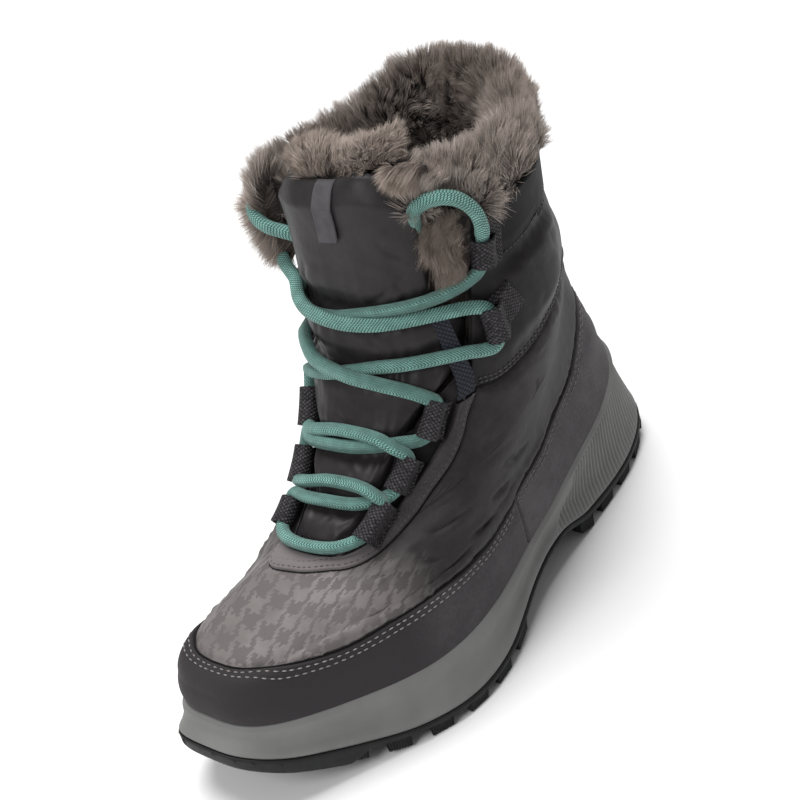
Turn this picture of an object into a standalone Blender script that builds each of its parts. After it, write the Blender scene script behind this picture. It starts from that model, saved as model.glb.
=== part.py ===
"""A laced winter boot for the left foot: lugged outsole, foam midsole, hollow padded upper, tongue,
insole, fur collar, webbing lace loops and a round lace.

Millimetres in the tables, metres in Blender. The toe points to -Y, the outer (lateral) side of the
foot to +X, and the boot stands on z = 0. Each form is a loft through rings that run round the foot.
"""

from collections import namedtuple
from functools import lru_cache
from math import cos, exp, pi, sin

import bmesh
import bpy
from mathutils import Vector

MM = 0.001

# Driving sizes
WALL = 4.0                 # upper: shell, insulation and lining together
GAP = 0.35                 # between pieces that touch on the real boot
AROUND = 44                # points round a ring of the upper
LACE = 6.0                 # diameter of the round lace

# The upper's outer face, from the feather edge in the midsole's cup to the top of the shaft, then on
# up through the collar. front and back are the ring's ends; toe, ball, waist and heel are half-widths
# at 0.10, 0.32, 0.60 and 0.88 of the way back; nose and tail say how round the ends are; lean shifts
# the ring to the outer side.
Ring = namedtuple("Ring", "front_y front_z back_y back_z toe ball waist heel nose tail lean")
RINGS = [
    Ring(-128, 0, 126, 0, 42, 48, 36, 35, 0.60, 0.70, 0),
    Ring(-134, 0, 130, 0, 44, 50, 38, 37, 0.60, 0.70, 0),
    Ring(-133, 57, 130, 62, 43, 49, 38, 37, 0.62, 0.72, 0),
    Ring(-124, 66, 128, 77, 38, 46, 37, 36, 0.66, 0.74, 0),
    Ring(-108, 72, 126, 91, 34, 43, 38, 36, 0.70, 0.76, 0),
    Ring(-89, 77, 124, 105, 31, 41, 40, 37, 0.72, 0.78, 0),
    Ring(-70, 83, 122, 117, 32, 40, 42, 39, 0.73, 0.80, 0),
    Ring(-53, 92, 120, 128, 34, 41, 44, 41, 0.73, 0.82, 0),
    Ring(-38, 104, 118, 138, 37, 43, 46, 43, 0.73, 0.84, 0),
    Ring(-25, 119, 116, 146, 40, 46, 48, 44, 0.74, 0.86, 0),
    Ring(-16, 136, 114, 153, 43, 48, 50, 44, 0.75, 0.88, 0),
    Ring(-9, 154, 113, 161, 45, 50, 50, 44, 0.75, 0.90, -1),
    Ring(-4, 172, 112, 168, 46, 51, 50, 44, 0.74, 0.90, -2),
    Ring(-1, 190, 112, 176, 47, 51, 50, 44, 0.72, 0.90, -2),
    Ring(0, 206, 113, 196, 47, 52, 51, 45, 0.70, 0.90, -2),
    Ring(0, 222, 113, 216, 47, 52, 51, 45, 0.70, 0.90, -2),
]
FEATHER = 2                # ring 1 lies this far above the midsole's rim
STATIONS = (0.10, 0.32, 0.60, 0.88)
TOP = 13                   # the ring where the shaft's cloth ends

# How far the foot's middle line leaves the Y axis, by place along the boot: in at the toe, out at
# the waist.
CURVE = [(-140, -14), (-100, -7), (-60, 2), (-20, 5), (30, 4), (80, 1), (140, 0)]
CURVE_FADES, CURVE_ENDS = 6, 10    # the rings from which the middle line straightens, and is straight
CENTRE = 6.2               # the middle line lies this far out, so that the boot's box is centred on x = 0


def smooth(x):
    """0 below 0, 1 above 1, and an easy slope between."""
    x = min(1.0, max(0.0, x))
    return x * x * (3 - 2 * x)


def along(table, x):
    """The value at x of a smooth line through the table's (x, value) rows."""
    xs = [row[0] for row in table]
    ys = [row[1] for row in table]
    if x <= xs[0]:
        return ys[0]
    if x >= xs[-1]:
        return ys[-1]
    i = max(k for k in range(len(xs) - 1) if xs[k] <= x)

    def slope(k):
        a, b = max(k - 1, 0), min(k + 1, len(xs) - 1)
        return (ys[b] - ys[a]) / (xs[b] - xs[a])

    step = xs[i + 1] - xs[i]
    t = (x - xs[i]) / step
    h = (2 * t**3 - 3 * t**2 + 1, t**3 - 2 * t**2 + t, 3 * t**2 - 2 * t**3, t**3 - t**2)
    return h[0] * ys[i] + h[1] * step * slope(i) + h[2] * ys[i + 1] + h[3] * step * slope(i + 1)


@lru_cache(maxsize=None)
def ring_at(v):
    """The ring v rows up the table, between rows too."""
    return Ring(*(along([(k, row[c]) for k, row in enumerate(RINGS)], v) for c in range(len(RINGS[0]))))


def plan_point(ring, turn, grow, bend):
    """A point of a ring: turn 0 is the toe, 0.25 the outer side, 0.5 the heel. grow offsets it outwards."""
    angle = 2 * pi * turn
    share = (1 - cos(angle)) / 2
    front, back = ring.front_y - grow, ring.back_y + grow
    y = front + (back - front) * share
    z = ring.front_z + (ring.back_z - ring.front_z) * share
    half = along(list(zip(STATIONS, (ring.toe, ring.ball, ring.waist, ring.heel))), share) + grow
    blunt = ring.nose + (ring.tail - ring.nose) * share
    side = sin(angle)
    x = (1 if side >= 0 else -1) * half * abs(side) ** blunt
    return Vector((CENTRE + x + bend * along(CURVE, y) + ring.lean, y, z)) * MM


# The collar's inner (big-toe side) front corner is folded outwards: how far, and the turns on that
# side of the toe line where the fold starts, is full, begins to fade, and ends.
FOLD = 14.0
FOLD_FROM, FOLD_FULL, FOLD_FADES, FOLD_ENDS = 0.105, 0.150, 0.190, 0.320


def fold(v, turn):
    inner = 1 - turn if turn > 0 else -turn    # turns from the toe line round the inner side
    across = smooth((inner - FOLD_FROM) / (FOLD_FULL - FOLD_FROM))
    across -= smooth((inner - FOLD_FADES) / (FOLD_ENDS - FOLD_FADES))
    return FOLD * smooth((v - 11) / 2.2) * max(0.0, across)


# How far the upper is drawn in from its rings: above the heel, by row, in full from one share of the
# way from toe to heel to another; and at the toe box's inner side, by turns from the toe line.
HEEL_TUCK = [(0.9, 0), (2, 2.4), (3.5, 3.8), (5, 6.0), (6, 5.4), (8, 4.0), (10.5, 4.6), (12.5, 3.2), (16, 2.5)]
TUCK_STARTS, TUCK_FULL = 0.60, 0.93
TOE_TUCK = [(0.045, 0), (0.075, 1.0), (0.10, 3.0), (0.125, 6.0), (0.15, 6.6), (0.175, 3.5), (0.21, 0)]


def tuck(v, turn):
    share = (1 - cos(2 * pi * turn)) / 2
    inner = 1 - turn if turn > 0 else -turn
    heel = along(HEEL_TUCK, v) * smooth((share - TUCK_STARTS) / (TUCK_FULL - TUCK_STARTS))
    return heel + along(TOE_TUCK, inner) * smooth((v - 1) / 1.2) * (1 - smooth((v - 4.5) / 2.5))


def upper_point(v, turn, grow=0.0):
    """A point of the upper's outer face, v rows up. Its two lowest rows follow the sole's cup."""
    grow += fold(v, turn) - tuck(v, turn)
    bend = min(1.0, max(0.0, (CURVE_ENDS - v) / (CURVE_ENDS - CURVE_FADES)))
    p = plan_point(ring_at(v), turn, grow, bend)
    if v < 2:
        y = p.y / MM
        floor, rim = sole_height("floor", y) + GAP, sole_height("rim", y) + FEATHER
        share = (y - RINGS[2].front_y) / (RINGS[2].back_y - RINGS[2].front_y)
        own = RINGS[2].front_z + (RINGS[2].back_z - RINGS[2].front_z) * share
        p.z = (floor + (rim - floor) * v if v < 1 else rim + (own - rim) * (v - 1)) * MM
    return p


def skin(v, turn, out=0.0):
    """A point `out` millimetres off the upper's outer face, square to it."""
    along_turn = upper_point(v, turn + 0.004) - upper_point(v, turn - 0.004)
    up_rows = upper_point(v + 0.08, turn) - upper_point(v - 0.08, turn)
    normal = along_turn.cross(up_rows).normalized()
    return upper_point(v, turn) + normal * out * MM


# Sole, by place along the boot: the undersides of the tread and of the outsole's sheet, the
# midsole's underside, the floor of its cup and its rim.
SoleRow = namedtuple("SoleRow", "y tread sheet foam floor rim")
SOLE = [
    SoleRow(-143, 27.0, 30.5, 33.0, 41, 46),
    SoleRow(-125, 16.0, 20.0, 23.5, 34, 42),
    SoleRow(-100, 5.0, 10.5, 14.0, 28, 37),
    SoleRow(-76, 0.0, 5.0, 8.5, 23, 35),
    SoleRow(-25, 0.0, 5.0, 8.0, 22, 35),
    SoleRow(10, 8.5, 13.5, 16.0, 25, 36),
    SoleRow(40, 10.0, 15.0, 17.5, 28, 38),
    SoleRow(65, 0.0, 6.5, 10.0, 31, 41),
    SoleRow(115, 0.0, 5.0, 8.0, 33, 47),
    SoleRow(143, 5.0, 10.0, 13.0, 34, 62),
]


def sole_height(name, y):
    return max(0.0, along([(row.y, getattr(row, name)) for row in SOLE], y))


# The midsole's plan at its widest, as a ring of its own.
SOLE_PLAN = Ring(-142, 0, 142, 0, 46, 54, 38.5, 41, 0.58, 0.66, 0)


def sole_point(turn, height, grow=0.0, lift=0.0):
    """A point on the sole's outline at one of its named heights."""
    p = plan_point(SOLE_PLAN, turn, grow, 1.0)
    p.z = (sole_height(height, p.y / MM) + lift) * MM
    return p


# ---------------------------------------------------------------- making objects

def clear_scene():
    for obj in list(bpy.data.objects):
        bpy.data.objects.remove(obj, do_unlink=True)


def collection(name):
    made = bpy.data.collections.new(name)
    bpy.context.scene.collection.children.link(made)
    return made


def material(name, colour, roughness):
    made = bpy.data.materials.new(name)
    made.use_nodes = True
    shader = made.node_tree.nodes["Principled BSDF"]
    shader.inputs["Base Color"].default_value = (*colour, 1)
    shader.inputs["Roughness"].default_value = roughness
    return made


def put(mesh, name, finish, home):
    obj = bpy.data.objects.new(name, mesh)
    home.objects.link(obj)
    if finish:
        mesh.materials.append(finish)
    mesh.shade_smooth()
    mesh.set_sharp_from_angle(angle=0.6)
    return obj


def helper(mesh, name):
    obj = put(mesh, name, None, cutters)
    obj.hide_render = True
    obj.display_type = "WIRE"
    return obj


def ladder(form, row):
    """Closes a ring with rungs across it, from its first and last points to the two in the middle."""
    for i in range(len(row) // 2 - 1):
        form.faces.new((row[i], row[i + 1], row[-i - 2], row[-i - 1]))


def loft(rings, capped=True, looped=False):
    """A mesh through closed rings of the same number of points. looped joins the last to the first."""
    form = bmesh.new()
    rows = [[form.verts.new(p) for p in ring] for ring in rings]
    count = len(rows[0])
    for low, high in zip(rows, rows[1:] + rows[:1] if looped else rows[1:]):
        for i in range(count):
            j = (i + 1) % count
            form.faces.new((low[i], low[j], high[j], high[i]))
    if capped and not looped:
        ladder(form, rows[0])
        ladder(form, rows[-1])
    bmesh.ops.recalc_face_normals(form, faces=form.faces)
    if form.calc_volume(signed=True) < 0:
        bmesh.ops.reverse_faces(form, faces=form.faces)
    mesh = bpy.data.meshes.new("loft")
    form.to_mesh(mesh)
    form.free()
    return mesh


def cut(obj, cutter, operation="DIFFERENCE", solver="EXACT"):
    step = obj.modifiers.new(cutter.name, "BOOLEAN")
    step.object = cutter
    step.operation = operation
    step.solver = solver


def steps(count):
    """count + 1 even steps from -1 to 1."""
    return [2 * k / count - 1 for k in range(count + 1)]


def through(points, count):
    """count + 1 points on a smooth line through the given ones."""
    parts = len(points) - 1
    tables = [[(k, p[c]) for k, p in enumerate(points)] for c in range(3)]
    return [Vector([along(table, parts * k / count) for table in tables]) for k in range(count + 1)]


def wire(points, radius, name, home):
    """A round cord: a bevelled poly line."""
    line = bpy.data.curves.new(name, "CURVE")
    line.dimensions = "3D"
    line.bevel_depth = radius * MM
    line.bevel_resolution = 2
    line.use_fill_caps = True
    spline = line.splines.new("POLY")
    spline.points.add(len(points) - 1)
    for point, place in zip(spline.points, points):
        point.co = (*place, 1)
    obj = bpy.data.objects.new(name, line)
    home.objects.link(obj)
    return obj


def wire_mesh(points, radius, name):
    """The same cord as a closed mesh, for joining."""
    obj = wire(points, radius, name, cutters)
    evaluated = obj.evaluated_get(bpy.context.evaluated_depsgraph_get())
    mesh = bpy.data.meshes.new_from_object(evaluated)
    bpy.data.objects.remove(obj)
    form = bmesh.new()
    form.from_mesh(mesh)
    bmesh.ops.remove_doubles(form, verts=form.verts, dist=0.01 * MM)
    form.to_mesh(mesh)
    form.free()
    return mesh


clear_scene()
boot = collection("winter_boot")
cutters = collection("cutters")
cutters.hide_render = True

NYLON = material("grey nylon shell", (0.07, 0.065, 0.066), 0.6)
FOAM = material("grey EVA foam", (0.20, 0.20, 0.20), 0.7)
RUBBER = material("black rubber", (0.015, 0.015, 0.017), 0.6)
FUR = material("brown-grey faux fur", (0.16, 0.13, 0.11), 0.9)
FELT = material("grey insole felt", (0.12, 0.12, 0.12), 0.9)
WEBBING = material("dark speckled webbing", (0.04, 0.035, 0.04), 0.8)
CORD = material("teal braided cord", (0.09, 0.27, 0.26), 0.6)

# ---------------------------------------------------------------- upper

UPPER_ROWS = 20
turns = [(k + 0.5) / AROUND for k in range(AROUND)]
levels = [TOP * k / UPPER_ROWS for k in range(UPPER_ROWS + 1)]
upper = put(loft([[upper_point(v, t) for t in turns] for v in levels], capped=False), "upper", NYLON, boot)
shell = upper.modifiers.new("wall", "SOLIDIFY")
shell.thickness = WALL * MM
shell.offset = -1
shell.use_even_offset = True

# The throat: its half-width in turns at each row, from its round end on the instep up past the
# collar. It widens in one step above the eyestay, where the ankle panel's front edge begins.
THROAT = [(5.85, 0.004), (5.93, 0.028), (6.1, 0.046), (6.5, 0.061), (7.2, 0.070), (8.0, 0.083),
          (8.8, 0.099), (9.2, 0.117), (9.6, 0.146), (10.2, 0.156), (11.5, 0.157), (13.5, 0.160),
          (15.4, 0.162)]
THROAT_ROWS, THROAT_COLUMNS = 32, 8
THROAT_OUT, THROAT_IN = 13.0, -9.0


def band(v, half, outer, inner, columns):
    """A closed ring at row v: across the front at the outer offset and back at the inner one."""
    across = [half * s for s in steps(columns)]
    front = [skin(v, t, outer(t)) for t in across]
    return front + [skin(v, t, inner(t)) for t in reversed(across)]


def rows_between(low, high, count):
    return [low + (high - low) * k / count for k in range(count + 1)]


throat_rings = [band(v, along(THROAT, v), lambda t: THROAT_OUT, lambda t: THROAT_IN, THROAT_COLUMNS)
                for v in rows_between(THROAT[0][0], THROAT[-1][0], THROAT_ROWS)]
cut(upper, helper(loft(throat_rings), "throat_cut"))

# ---------------------------------------------------------------- midsole

SOLE_AROUND = 52
sole_turns = [(k + 0.5) / SOLE_AROUND for k in range(SOLE_AROUND)]
CUP_ROW = 0.9              # the upper's row at the height of the midsole's rim


def cup_point(turn, height, grow, lift=0.0):
    """A point beside the upper's lower edge at one of the sole's heights."""
    p = upper_point(CUP_ROW, turn, grow)
    p.z = (sole_height(height, p.y / MM) + lift) * MM
    return p


midsole_rings = [
    [sole_point(t, "foam", -3.0) for t in sole_turns],
    [sole_point(t, "foam", 0.0, 2.0) for t in sole_turns],
    [sole_point(t, "foam", -2.5, 11.0) for t in sole_turns],
    [cup_point(t, "rim", 2.6, -1.5) for t in sole_turns],
    [cup_point(t, "rim", 1.6) for t in sole_turns],
    [cup_point(t, "rim", GAP) for t in sole_turns],
    [cup_point(t, "floor", GAP) for t in sole_turns],
]
midsole = put(loft(midsole_rings), "midsole", FOAM, boot)

# ---------------------------------------------------------------- insole

INSOLE = 5.0               # thickness
INSOLE_IN = -(WALL + 1.2)


def insole_point(turn, height):
    p = upper_point(0.0, turn, INSOLE_IN)
    p.z = (sole_height("floor", p.y / MM) + height) * MM
    return p


insole = put(loft([[insole_point(t, h) for t in sole_turns] for h in (GAP, INSOLE)]), "insole", FELT, boot)

# ---------------------------------------------------------------- outsole

LUG_PITCH, LUG_LENGTH, LUG_DEPTH = 19.0, 12.5, 15.0
LUG_INNER = 0.6            # a lug's inner end as a share of its length at the edge
LUG_TAPER = 1.0            # each side of a lug leans in by this much at the tread
LUG_UP = 1.0               # how far a lug reaches into the sheet
ARCH = (-2, 60)            # no lugs between these places along the boot
BARS = [-104, -86, -68, -50, -32, 76, 94, 112]    # where the lugs across the middle lie
BAR_LENGTH, BAR_MARGIN = 8.0, 21.0


def outline(count):
    return [sole_point(k / count, "tread") for k in range(count)]


def lug(corners, up):
    """A lug from the sheet down to the tread. corners are (x, y) and the taper's direction."""
    rings = []
    for name, lift, inset in (("sheet", up, 0.0), ("tread", 0.0, LUG_TAPER)):
        ring = []
        for x, y, dx, dy in corners:
            ring.append(Vector((x + dx * inset, y + dy * inset, sole_height(name, y) + lift)) * MM)
        rings.append(ring)
    return rings


def edge_lugs():
    """Lugs round the sole's outline, by equal steps along it."""
    count = 720
    points = outline(count)
    far, last = 0.0, -LUG_PITCH / 2
    for k in range(count):
        far += (points[(k + 1) % count] - points[k]).length / MM
        y = points[k].y / MM
        if far - last >= LUG_PITCH and not ARCH[0] < y < ARCH[1]:
            last = far
            yield k / count, points[k]


def edge_lug_rings(turn):
    here = sole_point(turn, "tread", 0.8)
    ahead = sole_point(turn + 0.002, "tread", 0.8)
    tangent = (ahead - here).to_2d().normalized()
    inward = Vector((-tangent.y, tangent.x))
    corners = []
    for a, b in ((-1, 0), (1, 0), (1, 1), (-1, 1)):
        length = LUG_LENGTH * (LUG_INNER if b else 1)
        place = here.to_2d() / MM + tangent * a * length / 2 + inward * b * LUG_DEPTH
        lean = tangent * -a + inward * (1 - 2 * b)
        corners.append((place.x, place.y, lean.x, lean.y))
    return lug(corners, LUG_UP)


def bar_rings(y):
    middle = CENTRE + along(CURVE, y)
    half = sole_point_at(y).x / MM - middle - BAR_MARGIN
    signs = ((-1, -1), (1, -1), (1, 1), (-1, 1))
    return lug([(middle + a * half, y + b * BAR_LENGTH / 2, -a, -b) for a, b in signs], LUG_UP)


def sole_point_at(y):
    """The outline's outer-side point nearest to y."""
    return min((p for p in outline(240) if p.x > 0), key=lambda p: abs(p.y / MM - y))


def joined(meshes):
    form = bmesh.new()
    for mesh in meshes:
        form.from_mesh(mesh)
    whole = bpy.data.meshes.new("joined")
    form.to_mesh(whole)
    form.free()
    return whole


outsole_rings = [
    [sole_point(t, "sheet", -2.0) for t in sole_turns],
    [sole_point(t, "sheet", 0.6, 0.8) for t in sole_turns],
    [sole_point(t, "foam", 0.6, -GAP) for t in sole_turns],
]
outsole = put(loft(outsole_rings), "outsole", RUBBER, boot)
lug_meshes = [loft(edge_lug_rings(turn)) for turn, _ in edge_lugs()] + [loft(bar_rings(y)) for y in BARS]
cut(outsole, helper(joined(lug_meshes), "lugs"), "UNION", "MANIFOLD")

# ---------------------------------------------------------------- tongue

TONGUE = [(5.4, 0.060), (6.0, 0.088), (7.0, 0.104), (8.0, 0.118), (9.0, 0.140), (9.7, 0.174),
          (10.5, 0.174), (11.0, 0.140), (11.4, 0.118), (12.2, 0.102), (13.0, 0.093), (14.3, 0.091),
          (14.7, 0.084)]
TONGUE_BACK = [(5.4, -10.0), (8.0, -12.0), (12.0, -12.0), (13.5, -10.5), (14.4, -9.5), (14.7, -7.0)]
TONGUE_ROWS, TONGUE_COLUMNS = 19, 12
UNDER = -(WALL + 1.2)      # under the wall
PROUD = 1.4                # in the throat


def tongue_front(v, turn):
    """Puffed out in the throat, and down under the wall beside it."""
    clear = along(THROAT, v) - abs(turn)
    rise = smooth((clear - 0.014) / 0.035) * smooth((v - 6.15) / 0.5)
    return UNDER + (PROUD - UNDER) * rise


def tongue_ring(v):
    back = along(TONGUE_BACK, v)
    top = smooth((v - 14.4) / 0.4)
    return band(v, along(TONGUE, v), lambda t: tongue_front(v, t) - 1.5 * top, lambda t: back, TONGUE_COLUMNS)


tongue_rows = rows_between(TONGUE[0][0], TONGUE[-1][0], TONGUE_ROWS)
tongue = put(loft([tongue_ring(v) for v in tongue_rows]), "tongue", NYLON, boot)

# ---------------------------------------------------------------- fur

FUR_START = 0.136          # the collar's fur runs round the back from here to 1 less this
FUR_AROUND = 26
# The fur's section, from the wall's inner face up and over its top edge: the row and the height above
# the upper's face of a point outside, and of one inside.
FurRow = namedtuple("FurRow", "v_out out v_in into")
COLLAR_FUR = [
    FurRow(11.5, -4.7, 11.5, -12.0),
    FurRow(12.3, -5.1, 12.3, -15.0),
    FurRow(13.15, -5.0, 12.9, -16.5),
    FurRow(13.10, 0.2, 13.3, -17.0),
    FurRow(13.5, 1.8, 13.7, -16.5),
    FurRow(14.0, 3.0, 14.1, -15.5),
    FurRow(14.4, 1.5, 14.4, -13.0),
    FurRow(14.65, -3.0, 14.65, -9.0),
]


def fur_section(turn):
    outside = [skin(row.v_out, turn, row.out) for row in COLLAR_FUR]
    inside = [skin(row.v_in, turn, row.into) for row in reversed(COLLAR_FUR)]
    return outside + inside


fur_turns = rows_between(FUR_START, 1 - FUR_START, FUR_AROUND)
collar_fur = put(loft([fur_section(t) for t in fur_turns]), "collar_fur", FUR, boot)

TONGUE_FUR = [(10.8, 0.070), (11.5, 0.085), (13.0, 0.088), (14.6, 0.088), (15.0, 0.084), (15.3, 0.066)]
TONGUE_FUR_DEEP = 8.5
tongue_fur_rows = rows_between(TONGUE_FUR[0][0], TONGUE_FUR[-1][0], 11)


def tongue_fur_ring(v):
    front = along(TONGUE_BACK, v) - 0.5
    over = smooth((v - 14.75) / 0.2)
    back = front - TONGUE_FUR_DEEP + 3 * over
    return band(v, along(TONGUE_FUR, v), lambda t: front, lambda t: back, 8)


tongue_fur = put(loft([tongue_fur_ring(v) for v in tongue_fur_rows]), "tongue_fur", FUR, boot)

# ---------------------------------------------------------------- lace loops

# Webbing tunnels in pairs up the throat's edges: the row and turn of each one's lower and upper mouth.
LoopRow = namedtuple("LoopRow", "low low_turn high high_turn")
LOOPS = [
    LoopRow(6.35, 0.084, 6.88, 0.085),
    LoopRow(7.50, 0.090, 8.05, 0.097),
    LoopRow(8.66, 0.112, 9.14, 0.118),
    LoopRow(10.00, 0.182, 10.95, 0.172),
    LoopRow(12.30, 0.174, 12.90, 0.176),
]
INNER_LOWER = [0.40, 0.40, 0.45, 0.0, 0.0]    # rows by which the inner side's loops sit lower
LOOP_WIDE, LOOP_HIGH, LOOP_WEB = 5.0, 4.7, 1.2
LOOP_OUT = LOOP_HIGH + 0.6
LOOP_SIDES = 10


def loop_mesh(row, side):
    low = skin(row.low, side * row.low_turn, LOOP_OUT)
    high = skin(row.high, side * row.high_turn, LOOP_OUT)
    axis = (high - low).normalized()
    v, turn = (row.low + row.high) / 2, side * (row.low_turn + row.high_turn) / 2
    up = (skin(v, turn, LOOP_OUT) - skin(v, turn)).normalized()
    across = axis.cross(up).normalized()
    up = across.cross(axis)

    def mouth(centre, web):
        angles = [2 * pi * k / LOOP_SIDES for k in range(LOOP_SIDES)]
        wide, tall = (LOOP_WIDE - web) * MM, (LOOP_HIGH - web) * MM
        return [centre + across * wide * cos(a) + up * tall * sin(a) for a in angles]

    rings = [mouth(low, 0), mouth(high, 0), mouth(high, LOOP_WEB), mouth(low, LOOP_WEB)]
    return loft(rings, looped=True)


inner_loops = [LoopRow(row.low - drop, row.low_turn, row.high - drop, row.high_turn)
               for row, drop in zip(LOOPS, INNER_LOWER)]
for number, (outer, inner) in enumerate(zip(LOOPS, inner_loops), 1):
    put(loop_mesh(outer, 1), f"lace_loop_outer_{number}", WEBBING, boot)
    put(loop_mesh(inner, -1), f"lace_loop_inner_{number}", WEBBING, boot)

# ---------------------------------------------------------------- lace

LACE_OUT = 5.3             # the lace's middle above the upper's face
LACE_MOUTH = 0.18          # the crossing lace starts this many rows past a loop's mouth
LACE_BESIDE = 0.035        # and this many turns beside it
LACE_OVER = 5.5            # how far the upper strand rises where two cross
LACE_POINTS, END_POINTS = 12, 18
BAR_BOW, BAR_OUT = 0.05, 3.7
# Two strands cross between each pair of rows. step is where a strand changes row and meet where the
# two cross, from -1 at the inner side to 1 at the outer; bow is how many rows a strand bows upwards.
Crossing = namedtuple("Crossing", "under_step under_bow over_step over_bow meet")
CROSSINGS = [
    Crossing(0.70, 0.60, 0.30, 0.68, 0.72),
    Crossing(0.70, 0.62, 0.30, 0.72, 0.72),
    Crossing(-0.30, 0.60, 0.35, 0.58, -0.05),
    Crossing(-0.15, -0.35, -0.55, 0.40, 0.00),
]


def strand(start, end, step=0.0, bow=0.0, over_at=None, out=LACE_OUT):
    """Points across the tongue from one (row, turn) to another, over the other strand at over_at."""
    points = []
    for s in steps(LACE_POINTS):
        turn = start[1] + (end[1] - start[1]) * (s + 1) / 2
        v = start[0] + (end[0] - start[0]) * smooth((s - step + 0.3) / 0.6) + bow * (1 - s * s)
        hump = 0.0 if over_at is None else LACE_OVER * exp(-((s - over_at) / 0.25) ** 2)
        points.append(skin(v, turn, out + hump))
    return points


def mouths(row, side):
    """Where the lace leaves a loop's lower and upper mouths towards the tongue: (row, turn) of each."""
    return ((row.low - LACE_MOUTH, side * (row.low_turn - LACE_BESIDE)),
            (row.high + LACE_MOUTH, side * (row.high_turn - LACE_BESIDE)))


bar_start, bar_end = mouths(inner_loops[0], -1)[0], mouths(LOOPS[0], 1)[0]
put(wire_mesh(strand(bar_start, bar_end, bow=BAR_BOW, out=BAR_OUT), LACE / 2, "bar"), "lace_bar_1", CORD, boot)

for i, crossing in enumerate(CROSSINGS):
    low_inner, low_outer = mouths(inner_loops[i], -1)[1], mouths(LOOPS[i], 1)[1]
    high_inner, high_outer = mouths(inner_loops[i + 1], -1)[0], mouths(LOOPS[i + 1], 1)[0]
    under = strand(low_inner, high_outer, crossing.under_step, crossing.under_bow)
    over = strand(high_inner, low_outer, crossing.over_step, crossing.over_bow, crossing.meet)
    pair = put(wire_mesh(under, LACE / 2, "strand"), f"lace_cross_{i + 2}", CORD, boot)
    cut(pair, helper(wire_mesh(over, LACE / 2, "strand"), f"lace_over_{i + 2}"), "UNION")

# The lace's two ends leave the top loops, arch over the fur and drop behind the tongue: row, turn
# and height above the upper's face.
END_OUTER = [(13.20, 0.176, 5.6), (13.55, 0.175, 7.5), (14.00, 0.170, 8.5), (14.42, 0.158, 8.5),
             (14.62, 0.142, 8.0), (14.62, 0.126, 7.0), (14.45, 0.112, 5.0), (14.10, 0.105, 2.0),
             (13.70, 0.1045, -1.0), (13.30, 0.105, -4.0), (12.90, 0.107, -7.0)]
END_INNER = [(13.15, -0.176, 5.6), (13.32, -0.172, 8.0), (13.32, -0.163, 9.5), (13.16, -0.150, 9.0),
             (12.98, -0.137, 7.0), (12.82, -0.122, 4.0), (12.70, -0.110, 0.0), (12.60, -0.107, -4.0),
             (12.40, -0.109, -8.0)]
for name, route in (("outer", END_OUTER), ("inner", END_INNER)):
    line = through([skin(*place) for place in route], END_POINTS)
    end = wire(line, LACE / 2, f"lace_end_{name}", boot)
    end.data.materials.append(CORD)
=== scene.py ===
from math import cos, pi, radians, sin

import bmesh
import bpy
import numpy as np
from mathutils import Matrix, Vector, noise


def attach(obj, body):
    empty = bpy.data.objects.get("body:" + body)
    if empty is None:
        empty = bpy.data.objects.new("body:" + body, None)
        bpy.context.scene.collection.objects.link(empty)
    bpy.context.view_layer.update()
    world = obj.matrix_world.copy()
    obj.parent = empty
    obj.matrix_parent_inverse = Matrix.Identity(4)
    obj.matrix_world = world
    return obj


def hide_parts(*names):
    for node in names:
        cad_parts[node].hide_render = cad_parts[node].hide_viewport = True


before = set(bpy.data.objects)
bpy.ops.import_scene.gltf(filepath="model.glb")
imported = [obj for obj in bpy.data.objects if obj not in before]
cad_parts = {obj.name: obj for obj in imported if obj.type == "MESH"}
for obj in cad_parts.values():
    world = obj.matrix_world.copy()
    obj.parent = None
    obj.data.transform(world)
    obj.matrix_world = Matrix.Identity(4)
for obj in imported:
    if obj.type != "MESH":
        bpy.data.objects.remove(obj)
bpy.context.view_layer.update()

# ---------------------------------------------------------------- the last
# The foot-shaped form that the upper is pulled over. It isn't a piece, but every piece of cloth,
# webbing, lace and fur is placed on it by row, turn and height. Lengths here are in millimetres, and
# the toe points to -Y. Turn 0 is the toe line, 0.25 the outer side, 0.5 the heel and -0.25 the inner side.

MM = 0.001
CENTRE = 6.2               # the middle line lies this far to the outer side
# front_y front_z back_y back_z toe ball waist heel nose tail lean, from the feather edge to the fur's top
RINGS = np.array([
    (-128, 0, 126, 0, 42, 48, 36, 35, 0.60, 0.70, 0),
    (-134, 0, 130, 0, 44, 50, 38, 37, 0.60, 0.70, 0),
    (-133, 57, 130, 62, 43, 49, 38, 37, 0.62, 0.72, 0),
    (-124, 66, 128, 77, 38, 46, 37, 36, 0.66, 0.74, 0),
    (-108, 72, 126, 91, 34, 43, 38, 36, 0.70, 0.76, 0),
    (-89, 77, 124, 105, 31, 41, 40, 37, 0.72, 0.78, 0),
    (-70, 83, 122, 117, 32, 40, 42, 39, 0.73, 0.80, 0),
    (-53, 92, 120, 128, 34, 41, 44, 41, 0.73, 0.82, 0),
    (-38, 104, 118, 138, 37, 43, 46, 43, 0.73, 0.84, 0),
    (-25, 119, 116, 146, 40, 46, 48, 44, 0.74, 0.86, 0),
    (-16, 136, 114, 153, 43, 48, 50, 44, 0.75, 0.88, 0),
    (-9, 154, 113, 161, 45, 50, 50, 44, 0.75, 0.90, -1),
    (-4, 172, 112, 168, 46, 51, 50, 44, 0.74, 0.90, -2),
    (-1, 190, 112, 176, 47, 51, 50, 44, 0.72, 0.90, -2),
    (0, 206, 113, 196, 47, 52, 51, 45, 0.70, 0.90, -2),
    (0, 222, 113, 216, 47, 52, 51, 45, 0.70, 0.90, -2),
])
STATIONS = np.array([0.10, 0.32, 0.60, 0.88])    # where toe, ball, waist and heel are measured
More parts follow.
